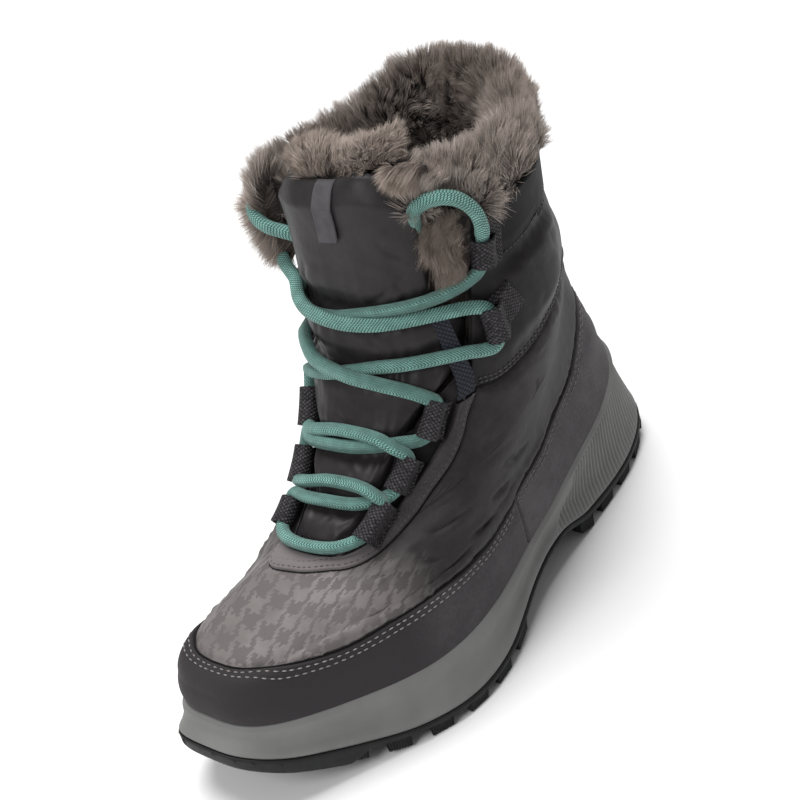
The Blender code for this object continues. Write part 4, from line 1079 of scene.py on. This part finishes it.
# how far each loop's tail reaches and stands off, for the lower three pairs and the upper two, and by how
# much the tail is shorter and how wide half the hole is on each side
LOWER_TAIL, UPPER_TAIL = (5.5, 0.3), (7.5, 2.6)
SIDES = {"outer": (LOOPS, 0.0, 3.7), "inner": (INNER_LOOPS, 1.5, 3.2)}
for number in range(5):
    for side, (mouths, shorter, hole_wide) in SIDES.items():
        tail, tail_out = LOWER_TAIL if number < 3 else UPPER_TAIL
        lay = loop_lay(*mouths[number], tail - shorter, tail_out, hole_wide)
        made = piece(cloth("loop", 54, 22, lay), f"loop_{side}_{number + 1}", webbing, "webbing",
                     f"lace_loop_{side}_{number + 1}")
        softened = thickened(made, WEB_THICK).modifiers.new("worn edge", "BEVEL")
        softened.width, softened.segments, softened.limit_method = 0.3 * MM, 2, "ANGLE"
        softened.angle_limit = radians(50)


def patch_lay(corners, height):
    """A four-cornered panel given from its low front corner round by its low back one."""
    def lay(a, b):
        a, b = crowd(a, 40, 4, 0.05), crowd(b, 40, 4, 0.05)
        low, top = (corners[i] + (corners[j] - corners[i]) * a[..., None] for i, j in ((0, 1), (3, 2)))
        place = low + (top - low) * b[..., None]
        return raised(place[..., 0], place[..., 1], height, roll=1.2, sink=0.2)

    return lay


# row and turn of each corner: low front, low back, high back, high front; and its height
PATCHES = {
    "patch_4": ([(10.02, 0.194), (10.50, 0.226), (11.52, 0.202), (11.04, 0.172)], 4.8),
    "patch_5": ([(12.06, 0.180), (12.14, 0.200), (13.80, 0.208), (13.74, 0.184)], 4.4),
}
for name, (corners, height) in PATCHES.items():
    for side, suffix in ((1, "outer"), (-1, "inner")):
        rows = np.array(corners)[[0, 1, 2, 3] if side > 0 else [1, 0, 3, 2]] * (1, side)
        piece(cloth(name, 40, 40, patch_lay(rows, height)), f"{name}_{suffix}", webbing, "webbing")

MESH_STRIP = [(8.90, 0.155), (9.20, 0.152), (9.60, 0.147), (10.20, 0.138), (10.75, 0.127), (11.35, 0.116)]
MESH_WIDE = 6.5


def strip_lay(side):
    rows = np.array(MESH_STRIP) * (1, side)
    far = length_along(skin(rows[:, 0], rows[:, 1]), 0)

    def lay(a, b):
        v, turn = np.moveaxis(columns(curve_through, far, rows, b * far[-1]), -1, 0)
        turn = turn + (a - 0.5) * MESH_WIDE / ROUND_MM + 0.001 * np.sin(9 * b)
        return skin(v, turn, 3.0 + 0.6 * np.sin(pi * b))

    return lay


mesh_strip = braided_polyester("blue-grey polyester mesh", "#2f3140", "#060608", 2.2, 2.2, sheen=0.02,
                               dip=1.0)
for side, suffix in ((1, "outer"), (-1, "inner")):
    strip = cloth("strip", 14, 70, strip_lay(side))
    thickened(piece(strip, f"mesh_strip_{suffix}", mesh_strip, "webbing"), 1.0)

# ---------------------------------------------------------------- fur
# Long-pile faux fur, 14 to 20 mm, lines the shaft and rolls over the collar, and a second piece stands
# behind the tongue. Each is a dark knitted backing with its pile drawn as tapering tufts of hair.

FUR_FROM, FUR_TO = 0.106, 0.862    # the collar's fur runs round the back between these turns
# the backing's section, from outside the collar band up over its top and down inside: row and height
COLLAR_SECTION = np.array([(13.42, 0.6), (13.66, 0.8), (13.92, 0.2), (14.20, -1.4), (14.40, -3.8),
                           (14.45, -6.8), (14.15, -10.5), (13.75, -13.0), (13.10, -14.0), (12.40, -13.5),
                           (11.70, -11.5), (11.00, -9.0)])
# how many millimetres higher the section's top stands at a turn, and how many its outer hem does
FUR_RISE = [(0.106, 8.5), (0.125, 8), (0.15, 7), (0.20, 4), (0.28, 3), (0.34, 0), (0.37, 0.5), (0.40, 1.5),
            (0.43, 3), (0.46, 6), (0.49, 7.5), (0.52, 7.5), (0.56, 7.5), (0.62, 7.5), (0.645, 3),
            (0.67, -2.5), (0.72, -10), (0.79, -13), (0.862, -8)]
FUR_HEM = [(0.118, 13), (0.142, 11), (0.17, 6), (0.22, 8), (0.30, 7), (0.36, 4), (0.46, 4), (0.56, 4),
           (0.72, -8), (0.80, -10), (0.862, -7)]
TONGUE_FUR_RISE = [(-0.12, 0), (-0.03, 0), (0.0, 2), (0.03, 7), (0.068, 9.5), (0.12, 10.5)]


def section_point(section, share, turn):
    """A point of a section that runs from its first (row, height) to its last as share goes from 0 to 1."""
    v, out = np.moveaxis(columns(curve_through, np.linspace(0, 1, len(section)), section, share), -1, 0)
    if section is COLLAR_SECTION:
        thinner = smooth((turn - 0.20) / 0.08) * smooth((0.46 - turn) / 0.08) * (1 - smooth(share / 0.8))
        out = out - 3.0 * thinner
        top = smooth(share / 0.3)
        rise = along(FUR_HEM, turn) * (1 - top) + along(FUR_RISE, turn) * top * smooth((v - 12.6) / 1.3)
    else:
        rise = along(TONGUE_FUR_RISE, turn) * smooth((v - 13) / 1.9)
    place = skin(v, turn, out)
    place[..., 2] += rise * MM
    return place


# each hair's half width in millimetres at its root, at a share of its height, and at its tip
HAIR_WIDE, HAIR_BEND = (0.15, 0.12, 0.0), (0.0, 0.55, 1.0)
FALL_FROM = 0.224           # hair tips higher than this fall back, in metres


def closest(places, heads):
    """Which of the heads is the nearest to each place."""
    own = np.empty(len(places), int)
    for start in range(0, len(places), 4000):
        part = places[start:start + 4000]
        square = (part**2).sum(1)[:, None] + (heads**2).sum(1)[None] - 2 * part @ heads.T
        own[start:start + 4000] = square.argmin(1)
    return own


def pile(name, finish, count, seed, root_at, lean, long, clump_size=36, droop=0.0):
    """Tapering hairs rooted by root_at(two shares), combed by lean(roots, outward, shares), and drawn
    together towards the tips into clumps. u of the UV map is each hair's own shade and v runs up it."""
    rng = np.random.default_rng(seed)
    shares = rng.random((count, 2))
    roots = root_at(*shares.T)
    step = 1e-3 * np.eye(2)
    one, two = (root_at(*np.clip(shares + step[k], 0, 1).T) - root_at(*np.clip(shares - step[k], 0, 1).T)
                for k in (0, 1))
    outward = unit(np.cross(one, two))
    tall = (long(shares) * rng.uniform(0.7, 1.1, count))[:, None] * MM
    swirl = np.stack([0.55 * ripple(roots, 15, seed + k) + 0.35 * ripple(roots, 6, seed + k + 9)
                      for k in range(3)], -1)
    way = unit(outward + lean(roots, outward, shares) + swirl + rng.normal(0, 0.14, (count, 3)))
    tips = roots + way * tall
    heads = rng.choice(count, max(8, int(count / clump_size)), replace=False)
    head_way = unit(way[heads] + rng.normal(0, 0.28, (len(heads), 3)))
    head_tips = roots[heads] + head_way * tall[heads] * rng.uniform(0.85, 1.15, len(heads))[:, None]
    own = closest(roots, roots[heads])
    together = rng.uniform(0.18, 0.52, (count, 1))
    tips = tips * (1 - together) + (head_tips[own] + (roots - roots[heads][own]) * 0.35) * together
    tips[:, 2] -= droop * MM
    tips += np.maximum(tips[:, 2:] - FALL_FROM, 0) * (-0.12, 0.35, -0.42)
    knee = roots + unit(outward * 1.2 + way) * tall * 0.45
    across = unit(np.cross(tips - roots, rng.normal(0, 1, (count, 3))))
    rows = []
    for t, wide in zip(HAIR_BEND, HAIR_WIDE):
        middle = roots * (1 - t) ** 2 + knee * 2 * t * (1 - t) + tips * t**2
        rows += [middle - across * wide * MM, middle + across * wide * MM] if wide else [middle]
    base = (np.arange(count) * 5)[:, None]
    quads, points = base + (0, 1, 3, 2), base + (2, 3, 4)
    mesh = bpy.data.meshes.new(name)
    mesh.from_pydata(np.stack(rows, 1).reshape(-1, 3).tolist(), [], quads.tolist() + points.tolist())
    shade = np.clip(0.6 * rng.random(count) + 0.4 * rng.random(len(heads))[own], 0, 1)
    uv = np.stack([np.repeat(shade, 5), np.tile(np.repeat(HAIR_BEND, (2, 2, 1)), count)], 1)
    corner = np.zeros(len(mesh.loops), np.int32)
    mesh.loops.foreach_get("vertex_index", corner)
    mesh.uv_layers.new(name="UVMap").data.foreach_set("uv", uv[corner].astype(np.float32).ravel())
    return piece(mesh, name, finish, "fur")


def hair(name, root, middle, tip):
    """Modacrylic fur fibre: dark at the root, partly its own colour and partly painted shade deep in the
    pile, paler and a little glossy to the tip, each its own tone.
    """
    made, tree, shader, _ = new_finish(name, 0.62, Sheen_Weight=0.2, Sheen_Roughness=0.5)
    shade, height = (node(tree, "SeparateXYZ", axis, Vector=node(tree, "UVMap")) for axis in "XY")
    tone = toned(tree, toned(tree, root, middle, height, 0.0, 0.55), tip, height, 0.45, 1.0)
    shade = node(tree, "MapRange", Value=shade, To_Min=0.62, To_Max=1.25)
    plug(shader, Base_Color=node(tree, "HueSaturation", Color=tone, Value=shade))
    return made


fur_hair = hair("brown-grey modacrylic fur", "#362e2a", "#7e726a", "#c8bbb2")
# painted shade: a darker copy of the fur for the tongue's fur and the tufts, which lie in shade
shaded_front_hair = hair("darker brown-grey modacrylic fur", "#2f2623", "#6f6159", "#b5a69b")
fur_backing = fleece("dark knitted fur backing", "#4b403b", "#2a2220")


def collar_turn(across, share):
    return FUR_FROM + (FUR_TO - FUR_FROM) * across


def backing_lay(section, turn_at, core_row, core_height, rounding):
    """A backing whose ends close round a core inside it."""
    def lay(a, b):
        turn = turn_at(a, b)
        closing = np.sqrt(np.clip(np.minimum(a, 1 - a) / rounding, 0, 1))
        core = skin(core_row, turn, core_height)
        return core + (section_point(section, b, turn) - core) * np.maximum(closing, 0.02)[..., None]

    return lay


backing = cloth("fur_backing", 150, 30, backing_lay(COLLAR_SECTION, collar_turn, 13.0, -6.0, 0.012))
piece(backing, "collar_fur_backing", fur_backing, "fur", "collar_fur")


def collar_roots(first, last):
    return lambda s, t: section_point(COLLAR_SECTION, t, collar_turn(first + (last - first) * s, t))


def collar_lean(roots, outward, shares):
    """The pile stands up at the top, lies close outside, and hangs inwards inside."""
    t = shares[:, 1:]
    rising = (0.35 + 0.65 * smooth(t / 0.12)) * smooth((0.80 - t) / 0.3) + 0.35 * (t > 0.7)
    return np.array([0, 0, 1.0]) * rising - 0.78 * outward * (1 - smooth((t - 0.08) / 0.35))


def collar_long(shares):
    t = shares[:, 1]
    return 12.5 + 3.5 * np.sin(pi * np.clip(t / 0.6, 0, 1)) - 1.5 * smooth((t - 0.55) / 0.3)


# the parts of the way round that each piece of pile covers, its hairs and its seed
COLLAR_PARTS = [("outer", 0.0, 0.36, 44000, 11), ("back", 0.36, 0.66, 33000, 12),
                ("inner", 0.66, 1.0, 28000, 13)]
for part, first, last, count, seed in COLLAR_PARTS:
    pile(f"collar_fur_{part}", fur_hair, count, seed, collar_roots(first, last), collar_lean, collar_long,
         droop=1.0)

TONGUE_SECTION = np.array([(14.70, -7.5), (14.95, -8.5), (15.05, -11.5), (15.00, -15.0), (14.4, -17.0),
                           (13.2, -17.5), (11.8, -17.5)])


def tongue_fur_turn(across, share):
    return 0.005 + (0.116 - 0.016 * np.abs(share - 0.5)) * (2 * across - 1)


def tongue_fur_lean(roots, outward, shares):
    """It stands up, less at the bottom, and falls forwards over the tongue's top edge."""
    rising = smooth((0.85 - shares[:, 1:]) / 0.5) - 0.35 * (1 - smooth(shares[:, 1:] / 0.2))
    return np.array([0, 0, 1.2]) * rising - 0.45 * outward


backing = cloth("tongue_backing", 40, 30, backing_lay(TONGUE_SECTION, tongue_fur_turn, 13.4, -13.5, 0.04))
piece(backing, "tongue_fur_backing", fur_backing, "fur", "tongue_fur")
pile("tongue_fur_pile", shaded_front_hair, 22000, 47,
     lambda s, t: section_point(TONGUE_SECTION, 0.9 * t, tongue_fur_turn(s, t)), tongue_fur_lean,
     lambda shares: 11.0 + 4.5 * smooth(shares[:, 1] / 0.3), droop=0.5)

# The collar's front edges spill fur beside the tongue. Each tuft has the (row, turn, height) of the corners
# that its roots lie between, how many millimetres higher they are lifted, how its first and last hairs are
# combed (towards the toe line, outwards, up), how long those are, and how many hairs there are.
TUFTS = {
    "outer": ([(14.1, 0.158, -2.0), (12.75, 0.157, -3.0), (12.75, 0.128, -1.0), (14.2, 0.122, -1.5)], 0,
              (0.55, 0.35, -0.45), (0.65, 0.45, -0.85), (9, 18), 7000),
    "outer_edge": ([(13.9, 0.170, 3.2), (12.40, 0.161, 3.2), (12.3, 0.145, 1.0), (14.2, 0.135, 1.0)], 0,
                   (0.5, 0.5, 0.2), (0.8, 0.4, -0.7), (8, 13), 6500),
    "inner": ([(13.9, -0.165, -2.0), (12.0, -0.165, -3.0), (12.0, -0.142, -5.0), (13.9, -0.135, -6.0)], 0,
              (0.25, 1.1, -0.30), (0.20, 1.1, -0.75), (16, 23), 7000),
    "outer_brow": ([(15.05, 0.136, 4.0), (14.8, 0.136, 3.0), (14.8, 0.100, 1.0), (15.05, 0.100, 1.5)], 7,
                   (0.9, 0.3, 0.30), (0.8, 0.35, -0.45), (13, 10), 5000),
}
for number, (name, (corners, lifted, first, last, (short, tall), count)) in enumerate(TUFTS.items()):
    rows = np.array(corners)
    first, last = np.array(first), np.array(last)
    place = (rows[0] + rows[2]) / 2
    toe_line = unit(skin(*place * (1, 0.8, 1)) - skin(*place))
    combed_by = np.array([toe_line, unit(skin(*place + (0, 0, 5)) - skin(*place)), (0, 0, 1)])

    def tuft_roots(s, t):
        s, t = s[:, None], t[:, None]
        place = (rows[0] * (1 - t) + rows[3] * t) * (1 - s) + (rows[1] * (1 - t) + rows[2] * t) * s
        return skin(*place.T) + (0, 0, lifted * MM)

    def tuft_lean(roots, outward, shares):
        return (first + (last - first) * shares[:, :1]) @ combed_by - outward * 0.999

    pile(f"tuft_{name}", shaded_front_hair, count, 20 + number, tuft_roots, tuft_lean,
         lambda shares: short + (tall - short) * shares[:, 0], clump_size=40)

# ---------------------------------------------------------------- midsole
# Compression-moulded EVA foam: a cup that the upper is bonded into, thickest and flared at the heel, with
# a smooth rim and a field of slanting moulded ribs on each side of the heel.

SOLE_PLAN = (-142, 0, 142, 0, 46, 54, 38.5, 41, 0.58, 0.66, 0)
RIB_PITCH, RIB_DEEP = 3.0, 1.15
RIB_WAY = (1.0, -0.12)      # square to the ribs, as (y, z)
RIBS_FROM, RIBS_TO, RIBS_SLANT = 34, 134, 22       # how far along they run, and how much less at their tops


def sole_point(turn, which, grow=0.0, lift=0.0):
    """Points of the sole's outline at one of its heights, in metres."""
    x, y, z = plan_point([np.full(np.shape(turn), value, float) for value in SOLE_PLAN], turn, grow, 1.0)
    return np.stack([x, y, sole_height(which, y) + lift], -1) * MM


def cup_point(turn, which, grow, lift=0.0):
    """Points beside the upper's lower edge at one of the sole's heights."""
    place = upper_point(0.9, turn, grow)
    place[..., 2] = (sole_height(which, place[..., 1] / MM) + lift) * MM
    return place


def midsole_lay(a, b):
    # finer round both sides of the heel, where the ribs are
    turn = np.interp(a, [0, 0.12, 0.46, 0.54, 0.88, 1], [0, 0.285, 0.455, 0.545, 0.715, 1])
    y = sole_point(turn, FOAM)[..., 1] / MM
    low = np.clip((sole_height(RIM, y) - sole_height(FOAM, y)) / 27, 0.4, 1)       # lower at the toe
    stations = np.stack([
        sole_point(turn, FOAM, -9.0), sole_point(turn, FOAM, -1.2), sole_point(turn, FOAM, 0.0, 0.9),
        sole_point(turn, FOAM, 0.1, 3.5 * low), sole_point(turn, FOAM, -1.6, 9.5 * low),
        sole_point(turn, FOAM, -3.0, 14.0 * low) * 0.5 + cup_point(turn, RIM, 3.2, -9.0 * low) * 0.5,
        cup_point(turn, RIM, 3.0, -5.0 * low), cup_point(turn, RIM, 2.4, -1.6),
        cup_point(turn, RIM, 1.7, -0.3), cup_point(turn, RIM, 0.6), cup_point(turn, RIM, -1.0, -1.5)])
    far = [0, 0.06, 0.09, 0.14, 0.33, 0.58, 0.78, 0.89, 0.93, 0.965, 1]
    share = np.interp(b, [0, 0.04, 0.85, 1], [0, 0.06, 0.89, 1])
    place = columns(curve_through, far, stations, share)
    x, y, z = np.moveaxis(place / MM, -1, 0)
    groove = (0.5 + 0.5 * np.cos(2 * pi * (RIB_WAY[0] * y + RIB_WAY[1] * z) / RIB_PITCH)) ** 1.6
    first = RIBS_FROM + RIBS_SLANT * (share - 0.09) / 0.72
    field = smooth((y - first) / 5) * smooth((RIBS_TO - y) / 6)
    field = field * smooth((share - 0.10) / 0.03) * smooth((0.845 - share) / 0.03)
    ledge = smooth((y - 40) / 30) * 0.9 * smooth((share - 0.835) / 0.02) * smooth((0.9 - share) / 0.03)
    away = np.stack([x - CENTRE - along(SWING, y), np.maximum(y - 90, 0) * 1.2, 0 * y], -1)
    return place + unit(away) * (ledge - RIB_DEEP * groove * field - 0.25 * field)[..., None] * MM


def moulded_foam(name, light, dark):
    """Moulded EVA: matt, closed skin with a faint orange peel, paler on sharp edges as from rubbing, and
    darker in hollows such as the rib grooves, which is painted shade.
    """
    made, tree, shader, place = new_finish(name, 0.66)
    cloud = node(tree, "TexNoise", Vector=place, Scale=1 / (22 * MM), Detail=3.0)
    # the tone follows curvature: painted shade in hollows such as the rib grooves, paler on sharp edges as
    # rubbing
    hollow_shade_and_rubbing = node(tree, "MapRange", Value=node(tree, "NewGeometry", "Pointiness"), From_Min=0.42,
                  From_Max=0.58, To_Min=0.72, To_Max=1.18)
    peel = node(tree, "TexNoise", Vector=place, Scale=1 / (0.9 * MM), Detail=2.0)
    tone = toned(tree, dark, light, cloud, 0.35, 0.65)
    plug(shader, Base_Color=node(tree, "HueSaturation", Color=tone, Value=hollow_shade_and_rubbing),
         Normal=node(tree, "Bump", Height=peel, Strength=0.15, Distance=0.2 * MM))
    return made


def filled(mesh):
    """Closes the holes left at a mesh's first and last rows."""
    form = bmesh.new()
    form.from_mesh(mesh)
    bmesh.ops.holes_fill(form, edges=[e for e in form.edges if e.is_boundary], sides=0)
    bmesh.ops.triangulate(form, faces=[f for f in form.faces if len(f.verts) > 4])
    form.to_mesh(mesh)
    form.free()
    return mesh


grey_foam = moulded_foam("grey moulded EVA foam", "#70706f", "#676766")
midsole_mesh = filled(cloth("midsole", 640, 40, midsole_lay, closed=True))
piece(midsole_mesh, "midsole_foam", grey_foam, "foam", "midsole")

# ---------------------------------------------------------------- outsole
# Carbon-black rubber, bonded under the foam: a thin sheet whose edge shows all round, 23 lugs round the
# edge and 8 bars across, their outer faces cut with fine moulded teeth.

LUG_PITCH, LUG_LENGTH, LUG_DEPTH, LUG_INNER = 19.0, 12.5, 15.0, 0.6
ARCH = (-2, 60)              # no lugs between these places along the boot
BARS = (-104, -86, -68, -50, -32, 76, 94, 112)
BAR_HALF, BAR_SHORT = 4, 21  # half a bar's width, and how far its ends stop short of the outline
TOOTH, LUG_TAPER, LUG_UP = 0.5, 1.0, 1.0     # depth of the teeth, lean of the sides, reach into the sheet


def sheet_lay(a, b):
    # at the toe its edge reaches down nearly to the tread
    y = sole_point(a, SHEET)[..., 1] / MM
    drop = -(0.8 + 1.05 * (sole_height(SHEET, y) - sole_height(TREAD, y))) * smooth((-96 - y) / 12)
    stations = np.stack([sole_point(a, SHEET, -16, drop * 0.6), sole_point(a, SHEET, -0.8, drop),
                         sole_point(a, SHEET, 0.4, 0.5 + drop), sole_point(a, SHEET, 0.8, 1.4 + drop),
                         sole_point(a, FOAM, 0.8, -0.4), sole_point(a, FOAM, 0.3, 0.1),
                         sole_point(a, FOAM, -3.0, 0.0)])
    k = b * (len(stations) - 1)
    low = np.clip(k.astype(int), 0, len(stations) - 2)[None, ..., None]
    here, beyond = (np.take_along_axis(stations, low + step, 0)[0] for step in (0, 1))
    return here + (beyond - here) * (k[..., None] - low[0])


def lug(form, corners, teeth, sides):
    """A lug from the sheet down to the tread, a grid drawn down. Its side at b = 0 is the outer one."""
    made = bmesh.ops.create_grid(form, x_segments=teeth * 2, y_segments=sides, size=0.5)
    faces = list(dict.fromkeys(f for v in made["verts"] for f in v.link_faces))
    drawn = bmesh.ops.extrude_face_region(form, geom=faces)
    tread = [g for g in drawn["geom"] if isinstance(g, bmesh.types.BMVert)]
    corners = np.array(corners)
    for verts, inset in ((made["verts"], 0.0), (tread, LUG_TAPER)):
        for v in verts:
            a, b = v.co.x + 0.5, v.co.y + 0.5
            toothed = TOOTH * (0.5 + 0.5 * cos(pi * a * teeth * 2)) if b < 1e-6 else 0.0
            across = min(max(a, inset / LUG_LENGTH), 1 - inset / LUG_LENGTH)
            inwards = min(max(b, (inset * 0.6 + toothed) / LUG_DEPTH), 1 - inset / LUG_DEPTH)
            low = corners[0] + (corners[1] - corners[0]) * across
            high = corners[3] + (corners[2] - corners[3]) * across
            x, y = low + (high - low) * inwards
            rounding = 0.5 * (1 - min(1.0, min(a, 1 - a, b, 1 - b) * 6))
            z = sole_height(TREAD, y) + rounding if inset else sole_height(SHEET, y) + LUG_UP
            v.co = Vector((x, y, float(z))) * MM


def tread_rubber(name):
    """Carbon-black rubber: near black, half matt, with mould texture and dusty high spots."""
    made, tree, shader, place = new_finish(name, 0.58, Specular_IOR_Level=0.3)
    dust = node(tree, "TexNoise", Vector=place, Scale=1 / (5 * MM), Detail=4.0)
    grain = node(tree, "TexNoise", Vector=place, Scale=1 / (0.8 * MM), Detail=2.0)
    plug(shader, Base_Color=toned(tree, "#0e0e10", "#18181a", dust, 0.4, 0.7),
         Normal=node(tree, "Bump", Height=grain, Strength=0.25, Distance=0.25 * MM))
    return made


black_rubber = tread_rubber("carbon-black tread rubber")
sheet_mesh = filled(cloth("sheet", 320, 18, sheet_lay, closed=True))
piece(sheet_mesh, "outsole_sheet", black_rubber, "rubber", "outsole")

form = bmesh.new()
outline = sole_point(np.arange(721) / 720, TREAD)
far, last = length_along(outline, 0) / MM, -LUG_PITCH / 2
for k in range(1, 721):
    y = outline[k - 1, 1] / MM
    if far[k] - last >= LUG_PITCH and not ARCH[0] < y < ARCH[1]:
        last = far[k]
        turn = (k - 1) / 720
        here, ahead = (sole_point(np.array(turn + d), TREAD, 0.8)[:2] / MM for d in (0.0, 0.002))
        tangent = unit(ahead - here)
        inward = np.array((-tangent[1], tangent[0]))
        corners = [here + tangent * a * LUG_LENGTH * (LUG_INNER if b else 1) / 2 + inward * b * LUG_DEPTH
                   for a, b in ((-1, 0), (1, 0), (1, 1), (-1, 1))]
        lug(form, corners, 10, 4)
side = outline[outline[:, 0] > 0] / MM
for y in BARS:
    middle = float(CENTRE + along(SWING, y))
    half = side[np.abs(side[:, 1] - y).argmin(), 0] - middle - BAR_SHORT
    corners = [(middle + a * half, y + b * BAR_HALF) for a, b in ((-1, -1), (1, -1), (1, 1), (-1, 1))]
    lug(form, corners, 8, 3)
bmesh.ops.recalc_face_normals(form, faces=form.faces)
lug_mesh = meshed(form, "lugs")
piece(lug_mesh, "outsole_lugs", black_rubber, "rubber")
lug_mesh.set_sharp_from_angle(angle=0.6)

# ---------------------------------------------------------------- insole
# A 5 mm felt sock on the cup's floor, covered in the lining's fleece. It lifts out.

# shares of the way round its section, from under its middle, round its edge, to its middle's top
INSOLE_AT = (0, 0.35, 0.42, 0.5, 0.58, 0.65, 1)


def insole_lay(a, b):
    edge = upper_point(0.0, a, -5.4)
    middle_y = edge[..., 1] / MM * 0.8
    spine = np.stack([CENTRE + along(SWING, middle_y), middle_y], -1) * MM
    share = np.interp(b, INSOLE_AT, [0.02, 0.93, 0.99, 1.0, 0.99, 0.93, 0.02])
    place = spine + (edge[..., :2] - spine) * share[..., None]
    lift = np.interp(b, INSOLE_AT, [0.4, 0.4, 0.8, 2.6, 4.4, 4.9, 5.0])
    height = sole_height(FLOOR, place[..., 1] / MM) + lift
    return np.concatenate([place, height[..., None] * MM], -1)


grey_fleece = fleece("grey insole fleece", "#6a625e", "#463f3c")
insole_mesh = cloth("insole", 120, 40, insole_lay, closed=True)
piece(insole_mesh, "insole_pad", grey_fleece, "felt", "insole")

# ---------------------------------------------------------------- floor and light
# A pale paper floor in a pale room, a large soft light low in front of the toe, and a soft one overhead.

form = bmesh.new()
bmesh.ops.create_grid(form, x_segments=1, y_segments=1, size=6.0)
floor = into_scene("floor", meshed(form, "floor"))
paper, _, shader, _ = new_finish("white paper", 0.9, Specular_IOR_Level=0.1)
plug(shader, Base_Color="#efefef")
floor.data.materials.append(paper)

world = bpy.data.worlds.new("room")
bpy.context.scene.world = world
world.use_nodes = True
plug(world.node_tree.nodes["Background"], Color=(1, 1, 1, 1), Strength=0.29)
bpy.context.scene.view_settings.view_transform = "Standard"


def light(name, kind, way, place=(0, 0, 0), **settings):
    """A light that shines the given way."""
    lamp = bpy.data.lights.new(name, kind)
    for key, value in settings.items():
        setattr(lamp, key, value)
    made = into_scene(name, lamp)
    made.location = place
    made.rotation_mode = "QUATERNION"
    made.rotation_quaternion = Vector(way).to_track_quat("-Z", "Y")


light("key", "AREA", (-0.05, 1.15, -0.95), (0.05, -1.15, 1.05), shape="DISK", size=0.7, energy=10)
light("ceiling", "SUN", (0.15, -0.13, -0.98), energy=3.25, angle=radians(38))
